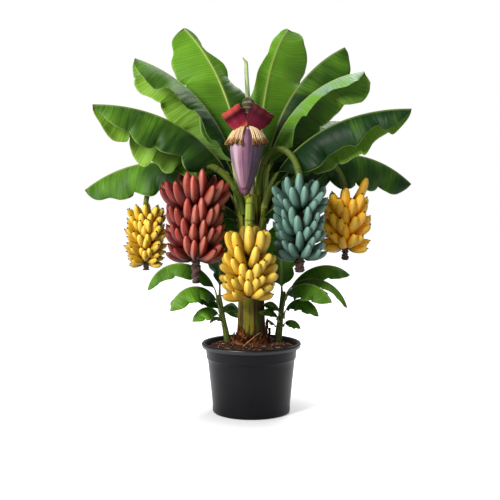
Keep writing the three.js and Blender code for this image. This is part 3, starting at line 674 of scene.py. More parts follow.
def plain_finish(name, tone, rough, scale):
    """A dull surface with a little mottling."""
    f = Finish(name)
    mottle = f.noise(f.place(), scale, 4.0, 0.6)
    base = f.mix(shade(tone, 0.6), shade(tone, 1.35), f.step(mottle, 0.3, 0.7))
    return f.surface(base, rough, f.bump(mottle, 0.4, 1.0), shine=0.2)


def stalk_finish(name, tone, scar):
    """A fruit stalk: green, with fine streaks and woody scars."""
    f = Finish(name)
    along, around, scarred = f.attributes("along", "around", "scar")
    streak = f.noise(f.vector(along * 0.008, around * 3.0, 4.0), 1.0, 4.0)
    patch = f.noise(f.place(), 38.0, 3.0)
    base = f.coats(
        shade(tone, 0.7),
        (shade(tone, 1.35), f.step(streak, 0.3, 0.7)),
        (scar, f.step(patch, 0.6, 0.72) * 0.6),
        (scar, scarred),
    )
    relief = f.bump(streak + patch * 0.5, 0.35, 0.8)
    return f.surface(base, 0.5 + patch * 0.2, relief, shine=0.2)


def stem_finish(name, settings, fresh):
    """The sheaths of the stem: green and yellow-green, with brown dried strips and edges."""
    f = Finish(name)
    height = f.node("ShaderNodeSeparateXYZ", sockets={0: f.place()}, output=2)
    blotch = f.noise(f.place(), 21.0, 3.0)
    around, tint, dry, young = f.attributes("around", "tint", "dry", "fresh")
    streak = f.noise(f.vector(height * 6.0, around * 9.0, 1.0), 1.0, 5.0, 0.6)
    fine = f.noise(f.vector(height * 30.0, around * 40.0, 3.0), 1.0, 3.0)
    scars = f.noise(f.vector(height * 34.0, around * 5.0, 9.0), 1.0, 3.0)
    base = f.coats(
        settings.green,
        (settings.pale, f.step(tint * 0.6 + streak * 0.5, 0.35, 0.75)),
        (fresh, young * (0.5 + streak * 0.6)),
        (settings.dry, f.step(dry + (streak - 0.5) * 0.9, 0.3, 0.72) * 0.92),
        (shade(settings.dry, 0.35), f.step(scars, 0.64, 0.74) * 0.75),
        (shade(settings.green, 0.35), f.step(blotch, 0.48, 0.72) * 0.6),
        (shade(settings.green, 0.5), f.step(fine, 0.55, 0.75) * 0.35),
    )
    normal = f.bump(streak * 0.8 + fine * 0.3, 0.5, 1.2)
    return f.surface(base, 0.55 + streak * 0.2, normal, shine=0.15)


def husk_finish(name, tone):
    """Dry fibre, streaked up and down."""
    f = Finish(name)
    along, around = f.attributes("along", "across")
    fibre = f.noise(f.vector(along * 0.05, around * 0.9, 6.0), 1.0, 5.0, 0.65)
    patch = f.noise(f.place(), 45.0, 3.0)
    base = f.mix(shade(tone, 0.3), shade(tone, 1.5), f.step(fibre * 0.6 + patch * 0.5, 0.35, 0.72))
    return f.surface(base, 0.85, f.bump(fibre, 0.7, 1.5), shine=0.1)


def bud_finish(name, settings):
    """Closed bracts: streaked lengthwise, with a pale bloom that thins towards the dark tip."""
    f = Finish(name)
    along, around, edge = f.attributes("along", "around", "edge")
    ribs = f.noise(f.vector(along * 0.9, around * 26.0, 1.0), 1.0, 4.0)
    panels = f.noise(f.vector(along * 0.5, around * 7.0, 4.0), 1.0, 2.0)
    cloud = f.noise(f.place(), 22.0, 4.0)
    bloom = f.step(cloud * 0.3 + ribs * 0.45 + panels * 0.45, 0.42, 0.7)
    face = f.step((around - 0.735).absolute(), 0.015, 0.11)
    light = f.mix(settings.blush, settings.bloom, face)
    base = f.coats(
        f.mix(settings.bud, shade(settings.bud, 0.55), face),
        (light, bloom * 0.9),
        (shade(settings.bud, 0.3), f.step(ribs * 0.5 + panels * 0.5, 0.45, 0.3) * 0.8),
        # Painted shade on the bud's right side, away from the key light.
        (shade(settings.shadow, 0.9), f.step(around, 0.725, 0.81) * 0.8),
        (settings.tip, f.step(along + ribs * 0.15, 0.86, 1.0) * 0.75),
        (shade(settings.tip, 0.6), f.step(edge, 0.8, 1.0) * 0.85),
    )
    return f.surface(base, 0.4 + cloud * 0.2, f.bump(ribs, 0.5, 1.2), shine=0.3)


def bract_finish(name, settings):
    """An open bract's inner face: orange at its foot, painted shade in its hollow, and bright where it
    rolls back, partly by a painted highlight; the right bract is painted in shade.
    """
    f = Finish(name)
    along, across, end, lit = f.attributes("along", "across", "end", "lit")
    ribs = f.noise(f.vector(along * 0.02, across * 0.35, 1.0), 1.0, 3.0)
    # lit is 1 on the left bract and 0 on the right: the right one is painted in shade, the left one lit.
    base = f.mix(shade(settings.inside, 0.22), shade(settings.inside, 1.3), ribs * 0.25 + lit * 0.65)
    # Painted highlight streaks, on the lit bract only.
    base = f.mix(base, shade(settings.edge, 0.9), f.step(ribs, 0.5, 0.7) * lit * 0.6)
    # Painted shade in the hollow under the roll.
    hollow = f.step(end, 0.24, 0.4)
    base = f.mix(base, shade(settings.inside, 0.16), hollow * 0.9)
    # The roll: brighter, partly its own red and partly a painted highlight; dark on the shaded bract.
    rolled = f.mix(shade(settings.edge, 0.16), settings.edge, lit)
    base = f.mix(base, rolled, f.step(end, 0.42, 0.56) * 0.95)
    # The foot's orange, painted in shade on the right bract.
    foot = f.mix(shade(settings.inside, 0.5), settings.base, lit)
    base = f.mix(foot, base, f.step(end + ribs * 0.08, 0.03, 0.18))
    return f.surface(base, 0.42 + ribs * 0.15, f.bump(ribs, 0.3, 1.0), shine=0.06)


def flower_finish(name, settings):
    """A flower: a striped pale tube with a dark, frayed mouth."""
    f = Finish(name)
    along, around = f.attributes("along", "around")
    grain = f.noise(f.place(), 140.0, 3.0)
    stripe = (around * 2.0).sine() * 0.5 + 0.5
    base = f.mix(settings.flower, shade(settings.flower_tip, 1.3), stripe * 0.35)
    base = f.mix(base, settings.flower_tip, f.step(along + grain * 0.2, 0.78, 0.95))
    frayed = f.step(grain, 0.46, 0.58) * f.step(along, 0.82, 0.9)
    base = f.mix(base, shade(settings.flower_tip, 0.16), frayed)
    return f.surface(base, 0.7, f.bump(grain, 0.4, 0.6), shine=0.25)


def pot_finish(name, tone, shine):
    """Near-black moulded plastic with faint scuffs."""
    f = Finish(name)
    scuff = f.noise(f.place(), 14.0, 6.0, 0.65)
    grain = f.noise(f.place(), 420.0, 2.0)
    base = f.mix(shade(tone, 0.8), shade(tone, 1.9), f.step(scuff, 0.4, 0.75) * 0.6)
    return f.surface(base, 0.3 + scuff * 0.14, f.bump(grain, 0.06, 0.4), shine=shine)


def soil_finish(name, settings):
    """Potting mix: dark lumps, lighter crumbs and flecks of straw."""
    f = Finish(name)
    lump = f.noise(f.place(), 120.0, 5.0, 0.7)
    fleck = f.noise(f.place(), 420.0, 2.0)
    base = f.mix(shade(settings.soil, 0.45), settings.clod, f.step(lump, 0.38, 0.72))
    base = f.mix(base, settings.straw, f.step(fleck, 0.68, 0.72) * 0.5)
    return f.surface(base, 0.95, f.bump(lump, 0.9, 2.0), shine=0.1)


# ---- Meshes ---------------------------------------------------------------------------------------
def smooth(value, low, high):
    """0 where value is at low, 1 where it is at high, and smooth between."""
    share = np.clip((np.asarray(value, float) - low) / (high - low), 0, 1)
    return share * share * (3 - 2 * share)


def lerp(first, second, share):
    """The value a share of the way from the first to the second."""
    return first + (second - first) * share


def curve(x, stops):
    """A smooth curve through the stops (place, value), read at x."""
    at, value = (np.array(column, float) for column in zip(*stops))
    slope = np.gradient(value, at)
    i = np.clip(np.searchsorted(at, x, side="right") - 1, 0, len(at) - 2)
    gap = at[i + 1] - at[i]
    t = np.clip((x - at[i]) / gap, 0, 1)
    hold = (1 + 2 * t) * (1 - t) ** 2 * value[i] + t * (1 - t) ** 2 * gap * slope[i]
    return hold + t * t * (3 - 2 * t) * value[i + 1] + t * t * (t - 1) * gap * slope[i + 1]


def ring_quads(rows, columns):
    """The quads between rings of points, one row after another."""
    row = np.arange(rows - 1)[:, None] * columns
    column = np.arange(columns)[None, :]
    after = (column + 1) % columns
    corners = [row + column, row + after, row + columns + after, row + columns + column]
    return np.stack(corners, -1).reshape(-1, 4)


def unit(vectors):
    """The vectors at length 1."""
    return vectors / np.linalg.norm(vectors, axis=-1, keepdims=True)


class Shape:
    """Points, faces and values gathered for one mesh, in millimetres."""

    def __init__(self, *materials):
        self.materials = materials
        self.points, self.faces, self.picks, self.values = [], [], [], []
        self.total = 0

    def add(self, points, faces, pick=0, **values):
        """Points and faces, with the material picked for the faces and values held at the points."""
        points = np.asarray(points, float).reshape(-1, 3)
        count = len(points)
        self.points.append(points)
        self.faces += (np.asarray(faces) + self.total).tolist()
        self.picks.append(np.broadcast_to(pick, len(faces)))
        full = {key: np.broadcast_to(value, np.shape(value) or count) for key, value in values.items()}
        self.values.append((count, {key: value.ravel() for key, value in full.items()}))
        self.total += count

    def add_rings(self, rings, pick=0, caps=True, **values):
        """Rings of points, one after another, with their ends closed."""
        rows, columns = rings.shape[:2]
        start = self.total
        spread = {key: np.broadcast_to(value, (rows, columns)) for key, value in values.items()}
        self.add(rings, ring_quads(rows, columns), pick, **spread)
        if caps:
            first = list(range(start, start + columns))
            last = [index + (rows - 1) * columns for index in first]
            self.faces += [first[::-1], last]
            end_picks = np.atleast_1d(pick)
            self.picks.append(np.array([end_picks[0], end_picks[-1]]))

    def object(self, name, sharp=None):
        """The mesh as an object, smooth but for edges past the angle sharp."""
        mesh = bpy.data.meshes.new(name)
        mesh.from_pydata((np.concatenate(self.points) * MM).tolist(), [], self.faces)
        mesh.polygons.foreach_set("material_index", np.concatenate(self.picks).astype(np.int32))
        for key in sorted({key for _, values in self.values for key in values}):
            layer = mesh.attributes.new(key, "FLOAT", "POINT")
            parts = [values.get(key, np.zeros(count)) for count, values in self.values]
            layer.data.foreach_set("value", np.concatenate(parts).astype(np.float32))
        for material in self.materials:
            mesh.materials.append(material)
        mesh.shade_smooth()
        if sharp:
            mesh.set_sharp_from_angle(angle=math.radians(sharp))
        mesh.update()
        piece = bpy.data.objects.new(name, mesh)
        bpy.context.scene.collection.objects.link(piece)
        return piece


def settle(piece, slot, *nodes):
    """Gives a finished piece its body and hides the solids that it stands for; the slot is not used."""
    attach(piece, "root")
    if nodes:
        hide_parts(*nodes)


def rings_along(frames, across, up):
    """Sections with offsets across and up, set up along a path."""
    points, side, rise = frames
    return points[:, None] + side[:, None] * across[..., None] + rise[:, None] * up[..., None]


def turns(count):
    """Angles spread evenly round a circle."""
    return 2 * np.pi * np.arange(count) / count


def tube(frames, reach, angle):
    """Round sections along a path, at a reach from it at each angle."""
    return rings_along(frames, reach * np.cos(angle), reach * np.sin(angle))


def round_axis(reach, angle, z):
    """Points at a reach from the plant's own axis, at an angle round it and a height."""
    return np.stack([reach * np.cos(angle), reach * np.sin(angle), z + 0 * angle], -1)


def level_frames(points, sign=1.0):
    """A path whose sections lie level."""
    side = np.broadcast_to([1.0, 0.0, 0.0], points.shape)
    return points, side, np.broadcast_to([0.0, sign, 0.0], points.shape)


def drawn_curve(bends, t):
    """A curve drawn towards the bends between its ends, at shares t (a Bezier curve)."""
    last = len(bends) - 1
    weights = [math.comb(last, k) * t**k * (1 - t) ** (last - k) for k in range(last + 1)]
    return sum(weight * bend for weight, bend in zip(weights, bends))


def bent_frames(start, az, rise, drop, bend, length, shares):
    """A path on one bearing whose elevation falls from rise by drop: points, sides and ups."""
    steps = 480
    heading = np.array([math.cos(math.radians(az)), math.sin(math.radians(az))])

    def direction(share):
        elevation = np.radians(rise - drop * np.asarray(share) ** bend)
        flat = np.cos(elevation)
        return np.stack([flat * heading[0], flat * heading[1], np.sin(elevation)], -1)

    moves = direction((np.arange(steps) + 0.5) / steps) * length / steps
    track = np.concatenate([[start], start + np.cumsum(moves, 0)])
    even = np.linspace(0, 1, steps + 1)
    points = np.stack([np.interp(shares, even, track[:, k]) for k in range(3)], -1)
    side = np.broadcast_to([-heading[1], heading[0], 0.0], points.shape)
    return points, side, np.cross(direction(shares), side)


def arched_frames(start, end, lead, fall, shares):
    """A path that leaves start along lead and comes down upright on end."""
    start, end, lead = (np.array(v, float) for v in (start, end, lead))
    t = np.linspace(0, 1, 400)[:, None]
    track = drawn_curve([start, start + lead, end + (0, 0, fall), end], t)
    length = np.concatenate([[0], np.cumsum(np.linalg.norm(np.diff(track, axis=0), axis=1))])
    even = length / length[-1]
    along = unit(np.gradient(track, axis=0))
    points, direction = (
        np.stack([np.interp(shares, even, values[:, k]) for k in range(3)], -1)
        for values in (track, along)
    )
    side = unit(np.array([start[1] - end[1], end[0] - start[0], 0.0]))
    side = np.broadcast_to(side, points.shape)
    return (points, side, unit(np.cross(direction, side))), length[-1]


def straight_frames(start, end, shares):
    """A straight path with level sections, which turn the same way whether it rises or falls."""
    start, end = np.array(start, float), np.array(end, float)
    points = start + (end - start) * np.asarray(shares)[:, None]
    return level_frames(points, 1.0 if end[2] > start[2] else -1.0)


# ---- Leaves ---------------------------------------------------------------------------------------
def half_width(b, width):
    """A plain half's width at shares b of the blade."""
    bluntness = np.where(b < 0.5, 2.6, 3.4)
    return np.maximum(width * (1 - np.abs(2 * b - 1) ** bluntness) ** 0.5, 2)


def blade_sections(spec, base, share, b, t, u, v, thickness, ribbed):
    """Offsets across and up of the points (u, v) of a leaf's sections at shares t of its length."""
    radius = lerp(base["radius"], base["tip_radius"], np.minimum(t / share, 1))
    if ribbed:
        radius = radius * (1 + 0.5 * (1 - smooth(t, 0, 0.3)))
    stem_up = np.where(v > 0, radius * (0.7 * u * u - 0.25), -radius * (1 - 0.9 * u * u))
    left = u < 0
    reach = np.abs(u)
    hang = np.radians(np.where(left, *spec["fold"]))
    chord = hang * (0.6 + 0.4 * reach)
    slope = np.sign(u) * hang * (0.6 + 0.8 * reach)
    half = half_width(b, np.where(left, *spec["halves"])) * reach
    turn = 2 * np.pi * (spec["waves"] * b + spec["phase"] + np.where(left, 0.35, 0))
    fade = smooth(b, 0, 0.2) * smooth(1 - b, 0, 0.15)
    lift = spec["wave"] * reach**2 * np.sin(turn) * fade
    drift = 0
    if ribbed:
        lift, half, drift = ruffled(spec, b, u, lift, half, fade)
    offset = lift + v * thickness / 2
    rib = np.where((v < 0) & (u == 0), lerp(base["tip_radius"], 0.5, b), 0)
    if ribbed:
        wide = rib_half_width(base, b)
        round_rib = np.sqrt(np.clip(1 - (half / wide) ** 2, 0, 1))
        rib = round_rib * np.where(v < 0, lerp(base["tip_radius"], 0.8, b), -0.35 * wide)
    across = np.sign(u) * half * np.cos(chord) + offset * np.sin(slope)
    up = -half * np.sin(chord) + offset * np.cos(slope) - rib
    k = smooth(b, 0, 0.12)
    return lerp(radius * u, across, k), lerp(stem_up, up, k), half, drift


def rib_half_width(base, b):
    """Half the width of the midrib at shares b of the blade."""
    return lerp(base["tip_radius"], 0.22 * base["tip_radius"], b)


def ruffled(spec, b, u, lift, half, fade):
    """The finer ripples of the margin, the pleats between the veins, and the tears."""
    reach = np.abs(u)
    left = u < 0
    scale = spec["ruffle"] * (0.35 + spec["wave"] / 23) * min(1, max(spec["halves"]) / 60)
    chance = random.Random(spec["at"] * 7 + spec["length"])
    side = np.where(left, 1.3, 0)
    drift = 0 * lift
    scallop = 0 * lift
    for waves, height in ((spec["waves"] * 2.3, 11.0), (spec["waves"] * 4.7, 1.8)):
        turn = 2 * np.pi * waves * b + chance.uniform(0, ROUND) + side
        lift = lift + scale * height * reach**3 * fade * np.sin(turn)
        drift = drift - scale * height * 0.9 * reach**3 * fade * np.cos(turn + 0.5)
        scallop = scallop + 0.005 * height * np.sin(turn + 0.9)
    vein = b * spec["length"] - 0.22 * half
    for wavelength, height in ((17, 0.55), (29, 0.7)):
        phase = chance.uniform(0, ROUND)
        fold = np.sin(2 * np.pi * vein / wavelength + phase + 1.7 * np.sin(vein / 53 + phase))
        lift = lift + height * scale * fold * smooth(reach, 0.05, 0.35) * fade
    swell = np.sin(2 * np.pi * spec["waves"] * 2.1 * b + 6 * spec["phase"] + 2 * side)
    uneven = 0.05 * swell + scallop + 0.014 * np.sin(b * 31 + side) + 0.01 * np.sin(b * 67 + 2 * side)
    near, far = (curve(b, tuple(zip(np.linspace(0, 1, len(trim)), trim))) for trim in spec["trim"])
    cut = np.where(left, near, far)
    half = half * (1 + (uneven - 0.03) * fade) * cut
    lift = lift * np.minimum(cut, 1)
    forward = smooth(b, 0.6, 0.9) * (1 - np.clip((b - 0.9) / 0.1, 0, 1) ** 3)
    drift = drift + np.where(left, *spec["sweep"]) * reach**2 * forward
    for towards, place in spec["notches"]:
        tear = np.exp(-(((b - place) / 0.012) ** 2)) * np.where(u * towards > 0, 0.16, 0)
        half = half * (1 - tear)
    return lift, half, drift


def coarse_corner(spec, base, start, stations):
    """The lowest corner of the leaf's solid before it is seated on its stem."""
    share = spec["share"] or base["share"]
    t = np.array([0, share / 2, share, *(lerp(share, 1, np.array(stations)))])
    columns = 5 if base is CROWN_SIZE else 3
    u = np.tile(np.linspace(-1, 1, columns), 2)[None, :]
    v = np.repeat([1.0, -1.0], columns)[None, :]
    b = np.maximum(0, (t - share) / (1 - share))
    across, up, *_ = blade_sections(
        spec, base, share, b[:, None], t[:, None], u, v, base["thickness"], False
    )
    return rings_along(leaf_frames(spec, start, t, b), across, up).reshape(-1, 3).min(0)


def leaf_frames(spec, start, t, b):
    """A leaf's arch, with its blade rolled to one side."""
    points, side, up = bent_frames(
        start, spec["az"], spec["rise"], spec["drop"], spec["bend"], spec["length"], t
    )
    turn = np.radians(spec["roll"]) * smooth(b, 0, 0.3)[:, None]
    return points, side * np.cos(turn) + up * np.sin(turn), up * np.cos(turn) - side * np.sin(turn)


def seat(node, spec, base, start, stations):
    """Where a leaf leaves its stem once its solid has been moved up against the stem."""
    seated = np.array(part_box(node)[0]) / MM - coarse_corner(spec, base, start, stations)
    return start + seated * (1, 1, 0)


def grow_leaf(name, spec, base, start, detail, materials, thickness):
    """A leaf with its stalk as one closed skin over its solid."""
    rows, columns = detail
    share = BARE_STALK * (spec["share"] or base["share"])
    x = np.linspace(0, 1, rows)
    b = np.concatenate([np.zeros(rows // 5), x**1.25 * 0.5 + (1 - (1 - x) ** 1.7) * 0.5])
    t = np.concatenate([np.linspace(0, share, rows // 5, endpoint=False), lerp(share, 1, x)])
    b[rows // 5 :] = np.clip(b[rows // 5 :], 0, 1)
    t[rows // 5 :] = lerp(share, 1, b[rows // 5 :])
    full = half_width(b, max(spec["halves"]))
    inner = np.clip(rib_half_width(base, b) / full, 0.02, 0.5)[:, None]
    outer = np.linspace(0, 1, columns)[1:] ** 0.9
    reach = np.concatenate([0 * inner, inner * 0.5, inner, inner + (1 - inner) * outer[None, :]], 1)
    top = np.concatenate([reach[:, ::-1], -reach[:, 1:]], 1)
    u = np.concatenate([top, top[:, ::-1]], 1)
    v = np.concatenate([np.ones_like(top), -np.ones_like(top)], 1)
    edge = smooth(np.abs(u), 0.8, 1.0)
    across, up, half, drift = blade_sections(
        spec, base, share, b[:, None], t[:, None], u, v * (1 - 0.45 * edge), thickness, True
    )
    frames = leaf_frames(spec, start, t, b)
    ahead = np.cross(frames[1], frames[2])
    rings = rings_along(frames, across, up) + ahead[:, None] * np.asarray(drift)[..., None]
    count = top.shape[1]
    middle = (count - 1) / 2
    column = np.arange(2 * count)
    beside = np.abs(np.where(column < count, column, 2 * count - 1 - column) - middle)
    next_beside = np.roll(beside, -1)
    is_rib = np.maximum(beside, next_beside) <= 2
    face_pick = np.where(is_rib, 2, np.where(column < count, 0, 1))
    pick = np.where(b[:-1, None] < 0.012, 2, face_pick[None, :]).ravel()
    shape = Shape(*materials)
    shape.add_rings(
        rings,
        pick,
        across=np.where(b[:, None] > 0, half, np.abs(across)),
        along=t[:, None] * spec["length"],
        reach=np.abs(u),
        end=b[:, None],
        # Each half's painted light and shade, for the finishes.
        lit=lerp(*spec["lit"], smooth(u, -0.02, 0.02)),
    )
    return shape.object(f"{name}_blade")


def beside_stem(axis, radius, bearing, clear, z):
    """A place at a height, clear of a stem's round side on a bearing."""
    reach = radius + clear
    angle = math.radians(bearing)
    return np.array([axis[0] + reach * math.cos(angle), axis[1] + reach * math.sin(angle), z])


def trunk_radius(z):
    """The stem's radius at a height: a taper with a flared foot."""
    above = np.asarray(z, float) - SOIL_TOP
    flare = (TRUNK["foot_radius"] - TRUNK["waist_radius"]) * np.exp(-above / 22)
    return lerp(TRUNK["waist_radius"], TRUNK["top_radius"], above / (TRUNK["top"] - SOIL_TOP)) + flare


def crown_foot(name, spec):
    """Where a crown leaf leaves the stem."""
    start = beside_stem((0, 0), trunk_radius(spec["z"]), spec["at"], CROWN_SIZE["clear"], spec["z"])
    return seat(name, spec, CROWN_SIZE, start, CROWN_STATIONS)


def sucker_axis(spec, z):
    """The middle and the radius of a sucker's stem at a height."""
    share = (z - SOIL_TOP) / (spec["top"] - SOIL_TOP)
    foot, head = np.array(spec["foot"]), np.array(spec["head"])
    return foot + (head - foot) * share, lerp(spec["foot_radius"], spec["top_radius"], share)


def leaf_materials(settings, stalk):
    """The upper face, the underside, and the rib with its stalk."""
    upper = settings.dark, settings.bright
    under = settings.under_dark, settings.under_bright
    return (
        blade_finish("leaf_upper_face", *upper, settings, 0.42),
        blade_finish("leaf_underside", *under, settings, 0.5),
        rib_finish("leaf_rib", stalk, settings.rib),
    )


class PLANT_OT_crown_leaves(bpy.types.Operator):
    """Grow the leaves of the crown"""

    bl_idname = "plant.crown_leaves"
    bl_label = "Crown leaves"

    def execute(self, context):
        settings = context.scene.plant.leaf
        finishes = leaf_materials(settings, settings.petiole)
        thickness = settings.blade_thickness / MM
        for name, spec in CROWN_LEAVES.items():
            start = crown_foot(name, spec)
            piece = grow_leaf(name, spec, CROWN_SIZE, start, CROWN_DETAIL, finishes, thickness)
            settle(piece, "leaf", name)
        for name, spec in SHADE_LEAVES.items():
            sunk = trunk_radius(spec["z"]) - CROWN_SIZE["radius"]
            start = beside_stem((0, 0), sunk, spec["at"], 0, spec["z"])
            name = f"shade_{name}"
            piece = grow_leaf(name, spec, CROWN_SIZE, start, SHADE_DETAIL, finishes, thickness)
            settle(piece, "leaf")
        self.rolled_leaf(settings)
        return {"FINISHED"}

    def rolled_leaf(self, settings):
        """The young leaf, rolled into a spike, with a seam round it and a dry hooked tip."""
        foot, tip = (np.array(ROLLED_LEAF[end], float) for end in ("foot", "tip"))
        t = np.linspace(0, 1, 110)
        hook = smooth(t, 0.955, 1)
        z = lerp(TRUNK["top"], ROLLED_LEAF["top"] + 3, t)
        flat = foot + (tip - foot) * t[:, None] + np.outer(3 * np.sin(t * 5), (1, 0))
        points = np.column_stack([flat[:, 0] - 9 * hook, flat[:, 1], z - 2 * hook])
        radius = ROLLED_LEAF["radius"] * curve(
            t, ((0, 0.8), (0.6, 1), (0.85, 0.72), (0.95, 0.62), (0.985, 0.42), (1, 0.08))
        )
        angle = turns(28)
        seam = 0.2 * smooth((angle / (2 * np.pi) + 1.6 * t[:, None]) % 1, 0, 1)
        rings = tube(level_frames(points), radius[:, None] * (1 + seam), angle)
        shape = Shape(young_finish("young_leaf", settings))
        shape.add_rings(rings, along=t[:, None] * 400, across=angle * 8, end=t[:, None], seam=seam)
        settle(shape.object("leaf_rolled_spike"), "young_leaf", "leaf_rolled")


class PLANT_OT_suckers(bpy.types.Operator):
    """Grow the two suckers and their leaves"""

    bl_idname = "plant.suckers"
    bl_label = "Suckers"

    def execute(self, context):
        settings = context.scene.plant
        finishes = leaf_materials(settings.leaf, settings.stem.sucker)
        skin = stalk_finish("sucker_skin", settings.stem.sucker, settings.stem.dry)
        for which, stem in SUCKERS.items():
            self.stem(which, stem, skin)
            for name, spec in SUCKER_LEAVES[which].items():
                node = f"sucker_{which}_leaf_{name}"
                axis, radius = sucker_axis(stem, spec["z"])
                start = beside_stem(axis, radius, spec["at"], SUCKER_SIZE["clear"], spec["z"])
                start = seat(node, spec, SUCKER_SIZE, start, SUCKER_STATIONS)
                detail = SUCKER_DETAIL if spec["length"] > SHORT_LEAF else SHORT_DETAIL
                piece = grow_leaf(node, spec, SUCKER_SIZE, start, detail, finishes, SUCKER_BLADE)
                settle(piece, "sucker_leaf", node)
        return {"FINISHED"}

    def stem(self, which, stem, skin):
        """A leaning stem with two twisted sheaths, wider and scarred at the soil."""
        t = np.linspace(0, 1, 60)
        z = lerp(SOIL_TOP - 4, stem["top"], t)
        axis = np.array([(*sucker_axis(stem, height)[0], height) for height in z])
        radius = np.array([sucker_axis(stem, height)[1] for height in z])
        angle, rise = turns(28), t[:, None]
        sheaths = 1 + 0.07 * np.sin(2 * angle[None, :] + 9 * rise) + 0.25 * np.exp(-rise * 22)
        rings = tube(level_frames(axis), radius[:, None] * sheaths, angle)
        shape = Shape(skin)
        shape.add_rings(rings, along=z[:, None], around=angle, scar=0.8 * np.exp(-rise * 14))
        settle(shape.object(f"sucker_{which}_stem"), "sucker_stem", f"sucker_{which}")


# ---- Fruit ----------------------------------------------------------------------------------------
FINGER_GIRTH = (
    (0, 0.4), (0.06, 0.42), (0.14, 0.7), (0.25, 0.95), (0.42, 1.03), (0.66, 1.0), (0.82, 0.9),
    (0.92, 0.7), (0.975, 0.44), (1, 0.22),
)
NUB_LENGTH = 3.6
# deep sets how dark the darker skin goes: the base tone, the stalk end, and the far flank's painted shade.
FRUIT_SKINS = {
    "red": {"spots": 0.0, "bloom": 0.25, "gloss": 0.3, "deep": 0.3},
    "blue": {"spots": 0.25, "bloom": 0.5, "gloss": 0.42, "deep": 0.5},
    "yellow": {"spots": 0.6, "bloom": 0.3, "gloss": 0.34, "deep": 0.42},
    "amber": {"spots": 0.6, "bloom": 0.2, "gloss": 0.34, "deep": 1.25},
}


def add_finger(shape, spec, chance, start, az, first, last, length, girth):
    """A banana: stalked, full along its length, five-sided, with a dried nub at its tip."""
    t = 1 - (1 - np.linspace(0, 1, 18)) ** 1.25
    angle = turns(15)
    skin_end = 1 - NUB_LENGTH / length
    shares = np.append(t * skin_end, [skin_end + 0.003, 1])
    points, side, up = bent_frames(start, az, first, first - last, 0.55, length, shares)
    sway = chance.uniform(-5, 5) * shares**1.5
    facet = np.pi / 5
    corner = np.cos(facet) / np.cos((angle + 0.5) % (2 * facet) - facet)
    girth = girth * chance.uniform(0.9, 1.06)
    flat = 1 + (corner / 0.9 - 1) * 0.95 * smooth(shares, 0.08, 0.25)[:, None]
    body = curve(t, FINGER_GIRTH) * (1 - spec["point"] * smooth(t, 0.5, 1))
    nub = spec["nub"]
    reach = girth * np.append(body, [nub + 0.03, nub])[:, None] * flat
    rings = tube((points + side * sway[:, None], side, up), reach, angle)
    from_rachis = np.hypot(rings[..., 0] - spec["at"][0], rings[..., 1] - spec["at"][1])
    shape.add_rings(
        rings,
        np.repeat((np.arange(len(shares) - 1) >= len(t) - 1).astype(int), len(angle)),
        along=shares[:, None],
        seed=chance.random(),
        ridge=smooth(corner, 0.84, 1),
        # The painted light side peaks on one flank of each finger, turned off its outer face.
        belly=0.5 - 0.5 * np.sin(angle + 0.7),
        # depth paints shade that deepens towards the rachis.
        depth=smooth(from_rachis, 8, 0.62 * length),
    )


def grow_bunch(name, spec, skin, nub):
    """Hands of fingers round the rachis, each an upright row over a splayed one."""
    chance = random.Random(name)
    shape = Shape(skin, nub)
    x, y = spec["at"]
    root = 0.7 * spec["rachis"]
    rows = [(hand, row) for hand in spec["hands"] for row in range(hand[1])]
    for turn, (hand, row) in enumerate(rows):
        height, _, length, first, last, side_drop, scale, opening = hand
        offset = (turn + spec["first"]) % 2 / 2
        for i in range(spec["around"]):
            az = 360 * (i + offset) / spec["around"] - 90 + chance.uniform(-6, 6)
            angle = math.radians(az)
            sideways = abs(math.cos(angle))
            z = height - spec["drop"] * row + chance.uniform(-3, 3)
            start = np.array([x + root * math.cos(angle), y + root * math.sin(angle), z])
            splay = side_drop * sideways**1.3
            begin = first - 8 * row - 0.55 * splay + chance.uniform(-4, 4)
            finish = last - 8 * row - 0.85 * splay + chance.uniform(-6, 6)
            reach = length * (1 - 0.05 * row - 0.1 * sideways) * chance.uniform(0.92, 1.04)
            shown = opening is None or abs((az - opening + 180) % 360 - 180) > 20
            if shown or row < hand[1] - 1:
                add_finger(shape, spec, chance, start, az, begin, finish, reach, spec["girth"] * scale)
    if spec["horn"]:
        height, az, first, last, length = spec["horn"]
        add_finger(shape, spec, chance, (x, y, height), az, first, last, length, spec["girth"])
    settle(shape.object(f"bunch_{name}_fingers"), bunch_slot(name), f"bunch_{name}")


def grow_rachis(name, spec, skin):
    """The stalk down the middle of a bunch, woody among the hands and with a bare scarred tail."""
    x, y = spec["at"]
    t = np.linspace(0, 1, 170)
    frames = straight_frames((x, y, spec["top"] + 4), (x, y, spec["tail"]), t)
    z = frames[0][:, 2:]
    first_hand, last_hand = spec["hands"][0][0], spec["hands"][-1][0]
    bare = smooth(last_hand - 10 - z, -20, 20)
    angle = turns(28)
    ledge = (z / 9 + 0.35 * np.sin(angle + 1) + 0.2 * np.sin(3 * angle)) % 1
    lumps = 0.5 * ledge**2 + 0.4 * np.sin(2 * angle + z / 9) * np.sin(z / 6)
    reach = spec["rachis"] * lerp(1, 0.85, t)[:, None] * (1 + bare * (lumps - 0.05))
    shape = Shape(skin)
    woody = smooth(first_hand + 20 - z, 0, 30)
    shape.add_rings(tube(frames, reach, angle), along=z, around=angle, scar=woody)
    settle(shape.object(f"bunch_{name}_rachis"), "fruit_stalk")


def bunch_slot(name):
    """The material slot of a bunch's fingers."""
    slots = {"red": "fruit_red", "blue": "fruit_blue", "yellow_right": "fruit_amber"}
    return slots.get(name, "fruit_yellow")


